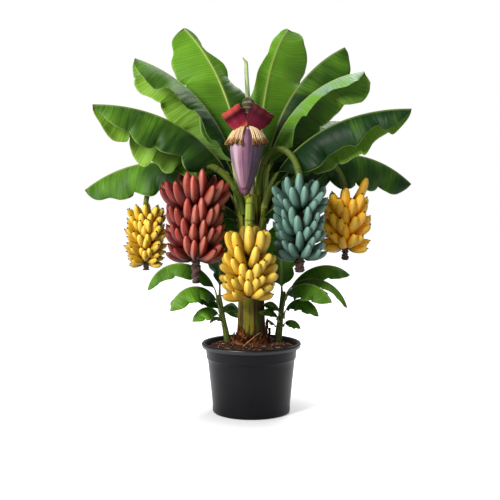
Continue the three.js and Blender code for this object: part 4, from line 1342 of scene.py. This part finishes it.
class PLANT_OT_bunches(bpy.types.Operator):
    """Grow the five bunches of bananas"""

    bl_idname = "plant.bunches"
    bl_label = "Bunches"

    def execute(self, context):
        fruit = context.scene.plant.fruit
        nub = plain_finish("finger_nub", fruit.nub, 0.8, 200.0)
        scar = stalk_finish("rachis", shade(fruit.stalk, 0.6), fruit.scar)
        skins = {}
        for key, measures in FRUIT_SKINS.items():
            tones = [getattr(fruit, f"{key}{part}") for part in ("", "_tip", "_sheen")]
            skins[key] = fruit_finish(f"skin_{key}", *tones, fruit.nub, **measures)
        for name, spec in BUNCHES.items():
            grow_bunch(name, spec, skins[bunch_slot(name).removeprefix("fruit_")], nub)
            grow_rachis(name, spec, scar)
        return {"FINISHED"}


STALK_JOINTS = (0.3, 0.62, 0.86)


class PLANT_OT_stalks(bpy.types.Operator):
    """Grow the stalks that the bunches hang from"""

    bl_idname = "plant.stalks"
    bl_label = "Fruit stalks"

    def execute(self, context):
        fruit = context.scene.plant.fruit
        dark = stalk_finish("stalk_skin", fruit.stalk, fruit.scar)
        bright = stalk_finish("young_stalk_skin", fruit.young_stalk, shade(fruit.scar, 0.7))
        for name, spec in STALKS.items():
            end = (*BUNCHES[name]["at"], BUNCHES[name]["top"])
            if "foot" in spec:
                foot = np.array(spec["foot"], float)
            else:
                clear = spec["radius"][0] - 1.5
                foot = beside_stem((0, 0), trunk_radius(spec["z"]), spec["bearing"], clear, spec["z"])
            t = np.linspace(0, 1, 110)
            frames, length = arched_frames(foot, end, spec["lead"], spec["fall"], t)
            t, angle = t[:, None], turns(24)
            joints = sum(np.exp(-(((t - place) * length / 2.2) ** 2)) for place in STALK_JOINTS)
            reach = lerp(*spec["radius"], t) * (1 + 0.13 * joints) * (1 + 0.035 * np.sin(5 * angle + 2))
            shape = Shape(bright if name == "yellow_middle" else dark)
            rings = tube(frames, reach, angle)
            shape.add_rings(rings, along=t * length, around=angle, scar=0.8 * joints)
            piece = shape.object(f"stalk_{name}_arch")
            settle(piece, "fruit_stalk", f"stalk_{name}_rising", f"stalk_{name}_hanging")
        return {"FINISHED"}


# ---- Blossom --------------------------------------------------------------------------------------
BUD_GIRTH = (
    (0, 0.36), (0.06, 0.58), (0.14, 0.86), (0.24, 0.98), (0.4, 0.93), (0.56, 0.79), (0.7, 0.62),
    (0.82, 0.45), (0.9, 0.34), (0.96, 0.22), (1, 0.06),
)
# Each closed bract: the bearing of its middle, half its span, how far down the bud it reaches, its lift.
BUD_WRAPS = ((205, 62, 0.985, 0.8), (330, 62, 0.98, 1.2), (85, 74, 0.97, 1.6), (258, 44, 0.9, 2.6))
FLOWER_ROWS = (11, 10, 8)
FLOWER_STATIONS = np.array([0, 0.1, 0.25, 0.4, 0.55, 0.7, 0.78, 0.84, 0.9, 0.95, 1])
FLOWER_GIRTH = ((0, 1.4), (0.3, 2.0), (0.76, 2.2), (0.92, 3.6), (1, 3.3))


def bud_radius(t):
    """The bud's radius at shares t of its length."""
    return BLOSSOM["bud_radius"] * np.maximum(curve(t, BUD_GIRTH), 0.03)


class PLANT_OT_blossom(bpy.types.Operator):
    """Grow the blossom: its ringed stalk, the bud, two open bracts and their flowers"""

    bl_idname = "plant.blossom"
    bl_label = "Blossom"

    def execute(self, context):
        settings = context.scene.plant.blossom
        fruit = context.scene.plant.fruit
        neck = np.array([*BLOSSOM["neck"], BLOSSOM["neck_height"]], float)
        self.stalk(neck, fruit)
        self.bud(neck, settings)
        inside = bract_finish("bract_inside", settings)
        outside = bud_finish("bract_outside", settings)
        tube = flower_finish("flower_tube", settings)
        for which, direction in (("left", -1), ("right", 1)):
            self.bract(which, direction, neck, inside, outside)
            self.flowers(which, direction, neck, tube)
        return {"FINISHED"}

    def stalk(self, neck, fruit):
        """The stalk that arches out of the crown, ringed with scars where it hangs."""
        foot = (*BLOSSOM["foot"], TRUNK["top"])
        t = np.linspace(0, 1, 200)
        frames, length = arched_frames(foot, neck, BLOSSOM["stalk_lead"], BLOSSOM["stalk_fall"], t)
        t, angle = t[:, None], turns(32)
        along = t * length
        ringed = smooth(t, 0.45, 0.55)
        ridge = np.abs(np.sin(along / 4.2)) ** 0.6
        radius = lerp(*BLOSSOM["stalk_radius"], smooth(t, 0.1, 0.7)) * (1 - 0.2 * ringed * ridge)
        rings = tube(frames, radius * (1 + 0.03 * np.sin(4 * angle + along / 5)), angle)
        shape = Shape(stalk_finish("blossom_stalk_skin", linear("7c7a50"), shade(fruit.scar, 0.6)))
        scar = ringed * (0.15 + 0.8 * (ridge > 0.55))
        shape.add_rings(rings, along=along, around=angle, scar=scar)
        settle(shape.object("blossom_stalk_ringed"), "blossom_stalk", "blossom_stalk")

    def bud(self, neck, settings):
        """A ribbed core under overlapping bracts, each wrapped part of the way round."""
        tip = np.array([*BLOSSOM["bud_tip"], BLOSSOM["bud_tip_height"]], float)
        shape = Shape(bud_finish("bud_skin", settings))
        t = 1 - (1 - np.linspace(0, 1, 90)) ** 1.3
        angle = turns(72)
        reach = 0.96 * bud_radius(t)[:, None] * (1 + 0.012 * np.sin(9 * angle))
        rings = tube(straight_frames(neck, tip, t), reach, angle)
        shape.add_rings(rings, along=t[:, None], around=angle / ROUND, edge=0.0)
        for bearing, span, reach_to, lift in BUD_WRAPS:
            self.wrap(shape, neck, tip, bearing, span, reach_to, lift)
        settle(shape.object("blossom_bud_wraps"), "bud", "blossom_bud")

    def wrap(self, shape, neck, tip, bearing, span, reach_to, lift):
        """One closed bract, pointed at its lower end, standing a little off the one under it."""
        rows, columns = 70, 26
        x = np.linspace(0, 1, rows)[:, None]
        u = np.linspace(-1, 1, columns)[None, :]
        t = lerp(0.03, reach_to, 1 - (1 - x) ** 1.25)
        width = np.radians(span) * np.sqrt(np.clip(1 - x**4.5, 0.0004, 1))
        angle = math.radians(bearing) + width * u
        centre = neck + (tip - neck) * t
        edge = smooth(np.abs(u), 0.75, 1.0) * np.ones((rows, 1))
        curl = 1.6 * lift * smooth(x, 0.88, 1.0)
        layers = []
        for thickness in (0.0, -1.4):
            reach = bud_radius(t) * 0.965 + lift + thickness - 0.7 * lift * edge + curl
            layers.append(centre[:, None] + round_axis(reach, angle, 0))
        skin = np.concatenate([layers[0][:, ::-1], layers[1]], 1)
        around = np.concatenate([angle[:, ::-1], angle], 1) / ROUND
        edge = np.maximum(edge, smooth(x, 0.82, 0.97))
        edge = np.concatenate([edge[:, ::-1], edge], 1)
        shape.add_rings(skin, along=t, around=around, edge=edge)

    def bract(self, which, direction, neck, inside, outside):
        """An open bract: it lifts away from the neck, is cupped, and rolls back at its end."""
        length, width = BLOSSOM["bract_length"], BLOSSOM["bract_width"]
        out = np.array([direction * 0.55, 0, 0.835])
        side = np.array([-direction * 0.835, 0, 0.55])
        near = np.array([0, -1.0, 0])
        root = neck + (direction * 13, -17, -4)
        bends = [
            root + out * along * length + near * towards * length
            for along, towards in ((0, 0), (0.3, 0.08), (0.66, 0.4), (1.0, 0.16), (0.62, -0.16))
        ]
        rows, columns = 60, 26
        t = np.linspace(0, 1, rows)[:, None]
        track = drawn_curve(bends, t)
        along = unit(np.gradient(track, axis=0))
        up = np.cross(along, side) * direction
        u = np.linspace(1, -1, columns)
        broad = 0.8 if direction < 0 else 0.95
        half = width / 2 * lerp(0.6, broad, smooth(t, 0, 0.35)) * (1 - 0.14 * smooth(t, 0.75, 1.0))
        cup = -11 * u * u * smooth(t, 0, 0.3) * (1 - smooth(t, 0.45, 0.8))
        crease = 0.8 * np.sin(u * 9 + 2) * smooth(t, 0.1, 0.5)
        shape = Shape(inside, outside)
        layers = [
            rings_along((track, np.broadcast_to(side, track.shape), up), half * u, cup + crease + offset)
            for offset in (-1.0, 1.0)
        ]
        rings = np.concatenate([layers[0], layers[1][:, ::-1]], 1)
        if direction < 0:
            rings = rings[:, ::-1]
        both = np.concatenate([u, u[::-1]])
        outer = np.concatenate([np.ones(columns), np.zeros(columns)]).astype(int)
        if direction < 0:
            both, outer = both[::-1], outer[::-1]
        shape.add_rings(
            rings,
            np.tile(outer, rows - 1),
            along=t * length,
            across=both * width / 2,
            # around near 0.9 puts the bract's outer face in the bud finish's painted shade.
            around=0.9 + both / 30,
            end=t,
            edge=0.0,
            # The left bract is painted lit, the right one painted in shade.
            lit=max(0, -direction),
        )
        settle(shape.object(f"bract_{which}_curl"), "bract", f"bract_{which}")

    def flowers(self, which, direction, neck, skin):
        """Rows of flowers under an open bract, each a tube with a frilled mouth and its style."""
        chance = random.Random(which)
        shape = Shape(skin)
        t, angle = FLOWER_STATIONS, turns(20)
        style_shares = np.linspace(0.9, 1.07, 5)
        style_radius = 1.3 * (1 - 0.5 * (style_shares - 0.9))[:, None]
        for row, count in enumerate(FLOWER_ROWS):
            reach, drop = 21 - 4 * row, 2 - 4 * row
            for i in range(count):
                az = -90 + direction * lerp(18, 96, (i + 0.5 * (row % 2)) / (count - 0.5))
                bearing = math.radians(az)
                start = neck + (reach * math.cos(bearing), reach * math.sin(bearing), drop)
                length = chance.uniform(56, 70) - 5 * row
                frames = bent_frames(start, az + chance.uniform(-4, 4), -12, 66, 0.6, length, t)
                frill = 1 + 0.6 * np.cos(5 * angle + i) * smooth(t, 0.74, 0.9)[:, None]
                rings = tube(frames, curve(t, FLOWER_GIRTH)[:, None] * frill, angle)
                shape.add_rings(rings, along=t[:, None], around=angle)
                style = bent_frames(start, az, -12, 66, 0.6, length, style_shares)
                shape.add_rings(tube(style, style_radius, turns(6)), along=0.3, around=0.0)
        settle(shape.object(f"flowers_{which}_tubes"), "flower", f"flowers_{which}")


# ---- Stem, pot and soil ---------------------------------------------------------------------------
SHEATHS = 7
GOLDEN_ANGLE = 137.5
# Each dried strip low on the stem: its bearing, its half width in degrees, and how dry it is.
DRIED_STRIPS = ((228, 7, 0.9), (262, 5, 0.95), (281, 2.5, 0.7), (318, 8, 0.85))
# Out of sight, the pot's inside and the heap of soil end at these heights.
INSIDE_FOOT, SOIL_FOOT = 150, 170


def apart(first, second):
    """How far apart two bearings are, in radians."""
    return np.abs((first - second + np.pi) % (2 * np.pi) - np.pi)


class PLANT_OT_stem(bpy.types.Operator):
    """Grow the stem: sheaths wrapped over each other, leaf bases, and dry sheaths at the foot"""

    bl_idname = "plant.stem"
    bl_label = "Stem"

    def execute(self, context):
        settings = context.scene.plant.stem
        skin = stem_finish("stem_sheaths", settings, context.scene.plant.leaf.petiole)
        self.trunk(skin)
        self.leaf_bases(skin)
        for which, spec in DRY_SHEATHS.items():
            tone = settings.husk if which == "left" else settings.dry
            self.dry_sheath(which, spec, husk_finish(f"husk_{which}", tone))
        return {"FINISHED"}

    def trunk(self, skin):
        """The stem's wrapped sheaths, and the cut layers at its top between the leaf stalks."""
        rows, columns = 240, 150
        t = np.linspace(0, 1, rows)[:, None]
        z = lerp(SOIL_TOP - 6, TRUNK["top"], t)
        angle = turns(columns)[None, :]
        relief, dry, tint = self.sheaths(t, z, angle)
        dry = self.dried(z, angle, dry)
        reach = trunk_radius(z) + relief - 1.2
        lips = (7 * np.sin(3 * angle + 1.2) + 4 * np.sin(5 * angle)) * smooth(t, 0.9, 1)
        rings = round_axis(reach, angle, z + lips)
        shape = Shape(skin)
        fresh = 0.4 * smooth(z, 590, 655)
        shape.add_rings(rings, around=angle, tint=tint, dry=dry, fresh=fresh, caps=False)
        shrink = np.linspace(1, 0.02, 16)[:, None]
        layers = 2.5 * np.abs(np.sin(shrink * 14 + angle)) + 7 * (1 - shrink)
        height = TRUNK["top"] - 2 + layers * smooth(1 - shrink, 0, 0.2)
        cap = round_axis(reach[-1] * shrink, angle, height)
        cap[0] = rings[-1]
        shape.add_rings(cap, around=angle, tint=0.7, dry=0.25, caps=False)
        settle(shape.object("trunk_sheaths"), "trunk", "trunk")

    def sheaths(self, t, z, angle):
        """The relief of sheaths that lap over each other, their dry edges and their tints."""
        relief = 0.5 * np.sin(7 * angle + z / 60) + 0.35 * np.sin(17 * angle - z / 45)
        dry, tint = np.zeros_like(relief), np.zeros_like(relief)
        chance = random.Random(11)
        for i in range(SHEATHS):
            bearing = math.radians(i * GOLDEN_ANGLE + 250)
            centre = bearing + 0.25 * np.sin(z / 170 + i)
            width = lerp(1.35, 0.75, t) * chance.uniform(0.85, 1.1)
            inside = (width - apart(angle, centre)) * 42
            over = smooth(inside, -0.8, 1.6)
            relief = relief + 1.1 * over - 0.5
            near_edge = np.exp(-((np.maximum(inside, -2 * inside) / 4.5) ** 2))
            dry = np.maximum(dry, near_edge * chance.uniform(0.5, 0.95))
            tint = lerp(tint, chance.random(), over)
        return relief, dry, tint

    def dried(self, z, angle, dry):
        """The dried strips low on the stem, and its worn brown foot."""
        for bearing, width, strength in DRIED_STRIPS:
            off = np.degrees(apart(angle, math.radians(bearing)))
            wander = 2.5 * np.sin(z / 31 + bearing) + 1.6 * np.sin(z / 11 + 3 * bearing)
            breadth = width * (0.8 + 0.35 * np.sin(z / 17 + 5 * bearing))
            strip = np.exp(-(((off + wander) / breadth) ** 2))
            dry = np.maximum(dry, strength * strip * (1 - smooth(z, 300, 420)))
        worn = SOIL_TOP + 48 + 10 * np.sin(5 * angle + 1) + 7 * np.sin(13 * angle)
        return np.maximum(dry, 0.95 * (1 - smooth(z, worn - 22, worn + 10)))

    def leaf_bases(self, skin):
        """Below each leaf stalk, the sheath that it widens into, hugging the stem."""
        shape = Shape(skin)
        rows, columns = 46, 22
        s = np.linspace(0, 1, rows)[:, None]
        u = np.linspace(-1, 1, columns)[None, :]
        for i, (name, spec) in enumerate(CROWN_LEAVES.items()):
            foot = crown_foot(name, spec)
            z = spec["z"] + 14 - s * (170 + 9 * (i % 4))
            narrowing = np.sqrt(np.clip(1 - smooth(s, 0.6, 1) ** 3, 0.01, 1))
            half = lerp(9.0, 44.0, smooth(s, 0, 1) ** 0.8) * narrowing
            out = math.hypot(foot[0], foot[1]) - trunk_radius(spec["z"]) + CROWN_SIZE["radius"] + 0.6
            stand = lerp(out, 0.9, smooth(s, 0.06, 0.75))
            crown = stand * np.sqrt(np.clip(1 - 0.85 * u * u, 0, 1))
            reach = np.minimum(trunk_radius(z), 60) + crown - 0.4
            angle = math.atan2(foot[1], foot[0]) + half * u / trunk_radius(z)
            outer, inner = round_axis(reach, angle, z), round_axis(reach - 3, angle, z)
            edge = np.abs(np.concatenate([u[:, ::-1], u], 1)) * np.ones((rows, 1))
            shape.add_rings(
                np.concatenate([outer[:, ::-1], inner], 1),
                around=np.concatenate([angle[:, ::-1], angle], 1),
                tint=0.25 + 0.1 * (i % 5),
                dry=0.95 * smooth(edge, 0.62, 1) * smooth(s, 0.1, 0.4) + 0.3 * s**2,
                fresh=1 - smooth(s, 0.08, 0.6),
            )
        settle(shape.object("leaf_bases"), "trunk")

    def dry_sheath(self, which, spec, husk):
        """A dry sheath, with thinner flakes that peel off round it."""
        chance = random.Random(spec["bearing"])
        shape = Shape(husk)
        self.flake(shape, spec["bearing"], spec["span"], spec["height"], spec["splay"], chance)
        for bearing in range(*spec["skirt"]):
            self.flake(shape, bearing, 9, chance.uniform(18, 40), chance.uniform(0, 5), chance)
        for _ in range(spec["flakes"]):
            bearing = spec["bearing"] + chance.uniform(-1.1, 1.1) * spec["span"]
            span = chance.uniform(0.25, 0.5) * spec["span"]
            height = chance.uniform(0.35, 0.8) * spec["height"]
            self.flake(shape, bearing, span, height, spec["splay"] * chance.uniform(0.6, 1.4), chance)
        settle(shape.object(f"dry_sheath_{which}_husk"), "dry_sheath", f"dry_sheath_{which}")

    def flake(self, shape, bearing, span, height, splay, chance):
        """A crumpled strip of dry sheath, wide at the soil and torn to points at its top."""
        rows, columns = 36, 34
        t = np.linspace(0, 1, rows)[:, None]
        u = np.linspace(-1, 1, columns)[None, :]
        fray = np.interp(u[0], np.linspace(-1, 1, 12), [chance.uniform(-0.42, 0.08) for _ in range(12)])
        z = SOIL_TOP - 3 + (height + 3) * t * (1 + fray * smooth(t, 0.3, 1)) * (1 - 0.35 * u * u * t)
        phase = chance.uniform(0, ROUND)
        crumple = 1.8 * np.sin(u * 11 + t * 4 + phase) * t + 1.2 * np.sin(u * 23 - t * 9 + 2 * phase)
        crumple = crumple + 1.5 * np.sin(t * 14 + u * 3 + phase)
        angle = np.radians(bearing - span * u * (1 - 0.55 * t * t) + 4 * np.sin(t * 3 + phase))
        layers = []
        for offset in (1.0, -0.2):
            reach = trunk_radius(lerp(SOIL_TOP, SOIL_TOP + height, t)) + 2.8 + splay * t * t
            reach = reach + crumple + offset
            layers.append(round_axis(reach, angle, z))
        rings = np.concatenate([layers[0], layers[1][:, ::-1]], 1)
        across = np.concatenate([u, u[:, ::-1]], 1) * span
        tone = chance.uniform(0, 40)
        shape.add_rings(rings, along=t * height + tone, across=across * np.ones((rows, 1)) + tone)


def wall_radius(z):
    """The radius of the pot's tapered wall at a height."""
    return lerp(POT["foot_radius"], POT["shoulder_radius"], z / (POT["height"] - POT["rim_depth"]))


class PLANT_OT_pot(bpy.types.Operator):
    """Mould the pot, with its rolled rim and collar"""

    bl_idname = "plant.pot"
    bl_label = "Pot"

    def execute(self, context):
        tone = context.scene.plant.pot.plastic
        plastic = pot_finish("pot_plastic", tone, 0.13)
        # The rim takes a lighter, glossier copy of the plastic: its lighter colour is a painted highlight.
        shape = Shape(plastic, pot_finish("pot_rim", shade(tone, 1.3), 0.4))
        outline = self.outline()
        under, inner = POT["height"] - POT["rim_depth"], POT["rim_radius"] - 10
        rolled = (outline[:-1, 1] > under) & (outline[:-1, 0] > inner)
        angle = turns(160)
        rings = round_axis(outline[:, :1], angle, outline[:, 1:])
        shape.add_rings(rings, np.repeat(rolled.astype(int), len(angle)))
        settle(shape.object("pot_moulding", sharp=50), "pot", "pot")
        return {"FINISHED"}

    def outline(self):
        """Radii and heights from the underside's middle, up the wall, over the rim and down inside."""
        height, wall, step = POT["height"], POT["wall"], POT["band_step"]
        rim, foot = POT["rim_radius"], POT["foot_radius"]
        under, band = height - POT["rim_depth"], height - POT["band_depth"]
        line = [(0.01, 3), (foot - 14, 3), (foot - 11, 0), (foot - 4, 0), (foot - 1.2, 1.2), (foot, 4)]
        line += [(wall_radius(z) - step * smooth(z, 4, 30), z) for z in np.linspace(12, band - 5, 12)]
        line += [(wall_radius(band - 2) - step * 0.7, band - 3), (wall_radius(band) - 0.2, band - 1)]
        line += [(wall_radius(band) + 0.6, band + 1), (wall_radius(band) + 0.4, band + 4)]
        line += [(wall_radius(z), z) for z in np.linspace(band + 8, under - 1, 6)]
        line += [(rim - 4.5, under + 1), (rim - 1.6, under + 2.2)]
        roll = np.radians([-35, 0, 30, 60, 90])
        line += [(rim - 5 + 5 * math.cos(a), height - 6 + 6 * math.sin(a)) for a in roll]
        line += [(rim - 9, height - 0.6), (rim - 11, height - 3), (wall_radius(under) - wall, under - 2)]
        line += [(wall_radius(z) - wall, z) for z in np.linspace(under - 12, INSIDE_FOOT, 4)]
        return np.array(line)


def soil_height(radius, angle):
    """The heap's surface, with its lumps."""
    edge = POT["height"] - SOIL["edge_drop"]
    slope = smooth(radius, SOIL["plateau_radius"] - 20, wall_radius(edge) - POT["wall"])
    lumps = 1.6 * np.sin(radius / 7 + 3 * angle) * np.cos(5 * angle - radius / 11)
    lumps = lumps + 1.0 * np.sin(radius / 3.1 + 11 * angle) * np.sin(9 * angle + radius / 5)
    return lerp(SOIL_TOP - 2, edge, slope) + lumps * 0.8


# Loose grains: their colour, roughness and mottling, how many there are, how big and how thick.
GRAINS = {
    "clods": {
        "tone": "soil", "rough": 0.95, "mottle": 200.0,
        "count": 2600, "sizes": (1.0, 3.4), "thick": 0.8, "seed": 3,
    },
    "perlite": {
        "tone": "perlite", "rough": 0.8, "mottle": 300.0,
        "count": 150, "sizes": (0.7, 1.7), "thick": 0.8, "seed": 8,
    },
    "bark": {
        "tone": "clod", "rough": 0.9, "mottle": 150.0,
        "count": 330, "sizes": (1.6, 4.2), "thick": 0.35, "seed": 5,
    },
}
# Straws that lean at the stem's foot: their two ends and their radius.
LEANING_STRAWS = (((-24, -80, 212), (26, -62, 250), 1.3), ((-44, -88, 224), (-16, -76, 211), 1.0))


def icosahedron():
    """The corners and faces of a unit icosahedron."""
    g = (1 + 5**0.5) / 2
    corners = [(-1, g, 0), (1, g, 0), (-1, -g, 0), (1, -g, 0)]
    corners += [(0, -1, g), (0, 1, g), (0, -1, -g), (0, 1, -g)]
    corners += [(g, 0, -1), (g, 0, 1), (-g, 0, -1), (-g, 0, 1)]
    corners = unit(np.array(corners, float))
    gaps = np.linalg.norm(corners[:, None] - corners[None], axis=-1)
    near = gaps < 1.06  # an edge is 1.05 long
    faces = []
    for a in range(12):
        for b in range(a + 1, 12):
            for c in range(b + 1, 12):
                if near[a, b] and near[b, c] and near[a, c]:
                    normal = np.cross(corners[b] - corners[a], corners[c] - corners[a])
                    out = normal @ (corners[a] + corners[b] + corners[c]) > 0
                    faces.append((a, b, c) if out else (a, c, b))
    return corners, np.array(faces)


class PLANT_OT_soil(bpy.types.Operator):
    """Fill the pot with loose potting mix"""

    bl_idname = "plant.soil"
    bl_label = "Soil"

    def execute(self, context):
        settings = context.scene.plant.pot
        edge = POT["height"] - SOIL["edge_drop"]
        brim = wall_radius(edge) - POT["wall"] - 0.3
        radius = np.linspace(0.5, brim, 80)[:, None]
        angle = turns(200)[None, :]
        top = round_axis(radius, angle, soil_height(radius, angle))
        floor = top[-1:].copy()
        floor[..., 2] = SOIL_FOOT
        shape = Shape(soil_finish("potting_mix", settings))
        shape.add_rings(np.concatenate([floor, top[::-1]]))
        settle(shape.object("soil_surface"), "soil", "soil")
        for name, grains in GRAINS.items():
            tone = getattr(settings, grains["tone"])
            skin = plain_finish(name, tone, grains["rough"], grains["mottle"])
            self.crumbs(name, skin, brim, grains)
        self.straws(plain_finish("straw", settings.straw, 0.7, 90.0), brim)
        return {"FINISHED"}

    def crumbs(self, name, skin, brim, grains):
        """Loose grains scattered over the heap, clear of the stem."""
        chance = np.random.default_rng(grains["seed"])
        corners, faces = icosahedron()
        shape = Shape(skin)
        thick = grains["thick"]
        placed = 0
        while placed < grains["count"]:
            reach = brim * math.sqrt(chance.uniform(0.0, 0.98))
            angle = chance.uniform(0, 2 * math.pi)
            if reach < TRUNK["foot_radius"] + 2:
                continue
            grain = corners * chance.uniform(0.7, 1.3, (12, 1)) * chance.uniform(*grains["sizes"])
            grain = grain * chance.uniform((0.7, 0.7, 0.6 * thick), (1.3, 1.3, thick))
            turn = chance.uniform(0, 2 * math.pi)
            c, s = math.cos(turn), math.sin(turn)
            grain = grain @ np.array([[c, s, 0], [-s, c, 0], [0, 0, 1]])
            z = float(soil_height(reach, angle)) + 0.5
            shape.add(grain + (reach * math.cos(angle), reach * math.sin(angle), z), faces)
            placed += 1
        settle(shape.object(f"soil_{name}"), "soil")

    def straws(self, skin, brim):
        """Straws and fibres that lie on the heap, and two that lean at the stem's foot."""
        chance = random.Random(21)
        shape = Shape(skin)
        straws = list(LEANING_STRAWS)
        for _ in range(34):
            reach, angle = brim * math.sqrt(chance.uniform(0.3, 0.85)), chance.uniform(0, ROUND)
            heading, length = chance.uniform(0, ROUND), chance.uniform(14, 46)
            ends = []
            for sign in (-0.5, 0.5):
                x = reach * math.cos(angle) + sign * length * math.cos(heading)
                y = reach * math.sin(angle) + sign * length * math.sin(heading)
                if math.hypot(x, y) > brim - 2:
                    x, y = x * (brim - 4) / math.hypot(x, y), y * (brim - 4) / math.hypot(x, y)
                ends.append((x, y, float(soil_height(math.hypot(x, y), math.atan2(y, x))) + 1.8))
            straws.append((*ends, chance.uniform(0.35, 0.7)))
        t = np.linspace(0, 1, 10)
        for start, end, radius in straws:
            start, end = np.array(start, float), np.array(end, float)
            along = unit(end - start)
            side = unit(np.cross(along, (0, 0, 1)))
            points = start + (end - start) * t[:, None]
            points = points + np.outer(np.sin(t * 3.1) * chance.uniform(-2, 2), side)
            points = points + np.outer(np.sin(t * 3.1) * chance.uniform(0, 1.5), (0, 0, 1))
            frames = (points, np.tile(side, (10, 1)), np.tile(np.cross(along, side), (10, 1)))
            shape.add_rings(tube(frames, radius * (1 - 0.4 * t[:, None]), turns(6)))
        settle(shape.object("soil_straws"), "soil")


# ---- Stage ----------------------------------------------------------------------------------------
class PLANT_OT_stage(bpy.types.Operator):
    """Set up the floor, the soft studio light and the camera"""

    bl_idname = "plant.stage"
    bl_label = "Stage"

    def execute(self, context):
        stage = context.scene.plant.stage
        finish = Finish("studio_floor")
        grain = finish.noise(finish.place(), 3.0, 2.0)
        tone = finish.mix(shade(stage.floor, 0.985), stage.floor, grain)
        place = {0: finish.place()}
        x, y = (finish.node("ShaderNodeSeparateXYZ", sockets=place, output=axis) for axis in "XY")
        # The floor's glow dims near the pot: a painted contact shadow. Further off it glows evenly white.
        away = finish.step((x * x + y * y) ** 0.5, 0.1, 0.42)
        lit = finish.mix((0.1, 0.1, 0.1), (1, 1, 1), away)
        shape = Shape(finish.surface(tone, 0.6, Emission_Color=lit, Emission_Strength=0.75))
        corners = [(x, y, 0) for x, y in ((-1, -1), (1, -1), (1, 1), (-1, 1))]
        shape.add(np.array(corners) * FLOOR_REACH / MM, [(0, 1, 2, 3)])
        floor = shape.object("studio_floor")
        floor.visible_diffuse = False
        floor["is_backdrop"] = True
        self.sky(context.scene, stage)
        for name, spec in LIGHTS.items():
            self.light(name, spec, getattr(stage, name))
        self.camera(context.scene, stage.camera_distance)
        context.scene.view_settings.view_transform = "Standard"
        return {"FINISHED"}

    def sky(self, scene, stage):
        """White where the camera looks past the plant, and an even soft light on it."""
        world = Finish("studio", "worlds")
        seen = world.node("ShaderNodeLightPath", output="Is Camera Ray")
        light = {"Color": (0.97, 0.985, 1), "Strength": stage.ambient}
        soft = world.node("ShaderNodeBackground", sockets=light)
        white = world.node("ShaderNodeBackground", sockets={"Color": (1, 1, 1), "Strength": 1.0})
        mixed = world.node("ShaderNodeMixShader", sockets={0: seen, 1: soft, 2: white})
        world.node("ShaderNodeOutputWorld", sockets={"Surface": mixed})
        scene.world = world.owner

    def light(self, name, spec, power):
        """A round soft light."""
        lamp = bpy.data.lights.new(f"{name}_light", "AREA")
        lamp.shape = "DISK"
        lamp.size = spec["width"]
        lamp.energy = power
        self.aim(lamp.name, lamp, spec["place"], spec["target"])

    def camera(self, scene, distance):
        """A long lens in front, a little above the plant's middle."""
        lens = bpy.data.cameras.new("camera")
        lens.lens = CAMERA["lens"]
        lens.sensor_width = CAMERA["sensor"]
        lens.clip_end = 100
        place = (CAMERA["aside"], -distance, CAMERA["height"])
        scene.camera = self.aim("camera", lens, place, (CAMERA["aside"], 0, CAMERA["aim"]))

    def aim(self, name, data, place, target):
        """Puts a light or a camera at a place, turned to its target."""
        thing = bpy.data.objects.new(name, data)
        bpy.context.scene.collection.objects.link(thing)
        thing.location = place
        direction = Vector(target) - thing.location
        thing.rotation_euler = direction.to_track_quat("-Z", "Y").to_euler()
        return thing


class PLANT_PT_panel(bpy.types.Panel):
    """Lists the steps that build the plant"""

    bl_idname = "PLANT_PT_panel"
    bl_label = "Potted Banana Plant"
    bl_space_type = "VIEW_3D"
    bl_region_type = "UI"
    bl_category = "Plant"

    def draw(self, context):
        for step in STEPS:
            self.layout.operator(step.bl_idname)


STEPS = (
    PLANT_OT_stage,
    PLANT_OT_pot,
    PLANT_OT_soil,
    PLANT_OT_stem,
    PLANT_OT_crown_leaves,
    PLANT_OT_suckers,
    PLANT_OT_stalks,
    PLANT_OT_bunches,
    PLANT_OT_blossom,
)
GROUPS = (
    LeafSettings,
    FruitSettings,
    StemSettings,
    BlossomSettings,
    PotSettings,
    StageSettings,
    PlantSettings,
)


def register():
    for item in (*GROUPS, *STEPS, PLANT_PT_panel):
        bpy.utils.register_class(item)
    bpy.types.Scene.plant = bpy.props.PointerProperty(type=PlantSettings)


def unregister():
    del bpy.types.Scene.plant
    for item in reversed((*GROUPS, *STEPS, PLANT_PT_panel)):
        bpy.utils.unregister_class(item)


def main():
    register()
    bpy.ops.plant.stage()
    bpy.ops.plant.pot()
    bpy.ops.plant.soil()
    bpy.ops.plant.stem()
    bpy.ops.plant.crown_leaves()
    bpy.ops.plant.suckers()
    bpy.ops.plant.stalks()
    bpy.ops.plant.bunches()
    bpy.ops.plant.blossom()
    bounds = [list(corner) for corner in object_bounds()]


if __name__ == "__main__":
    main()
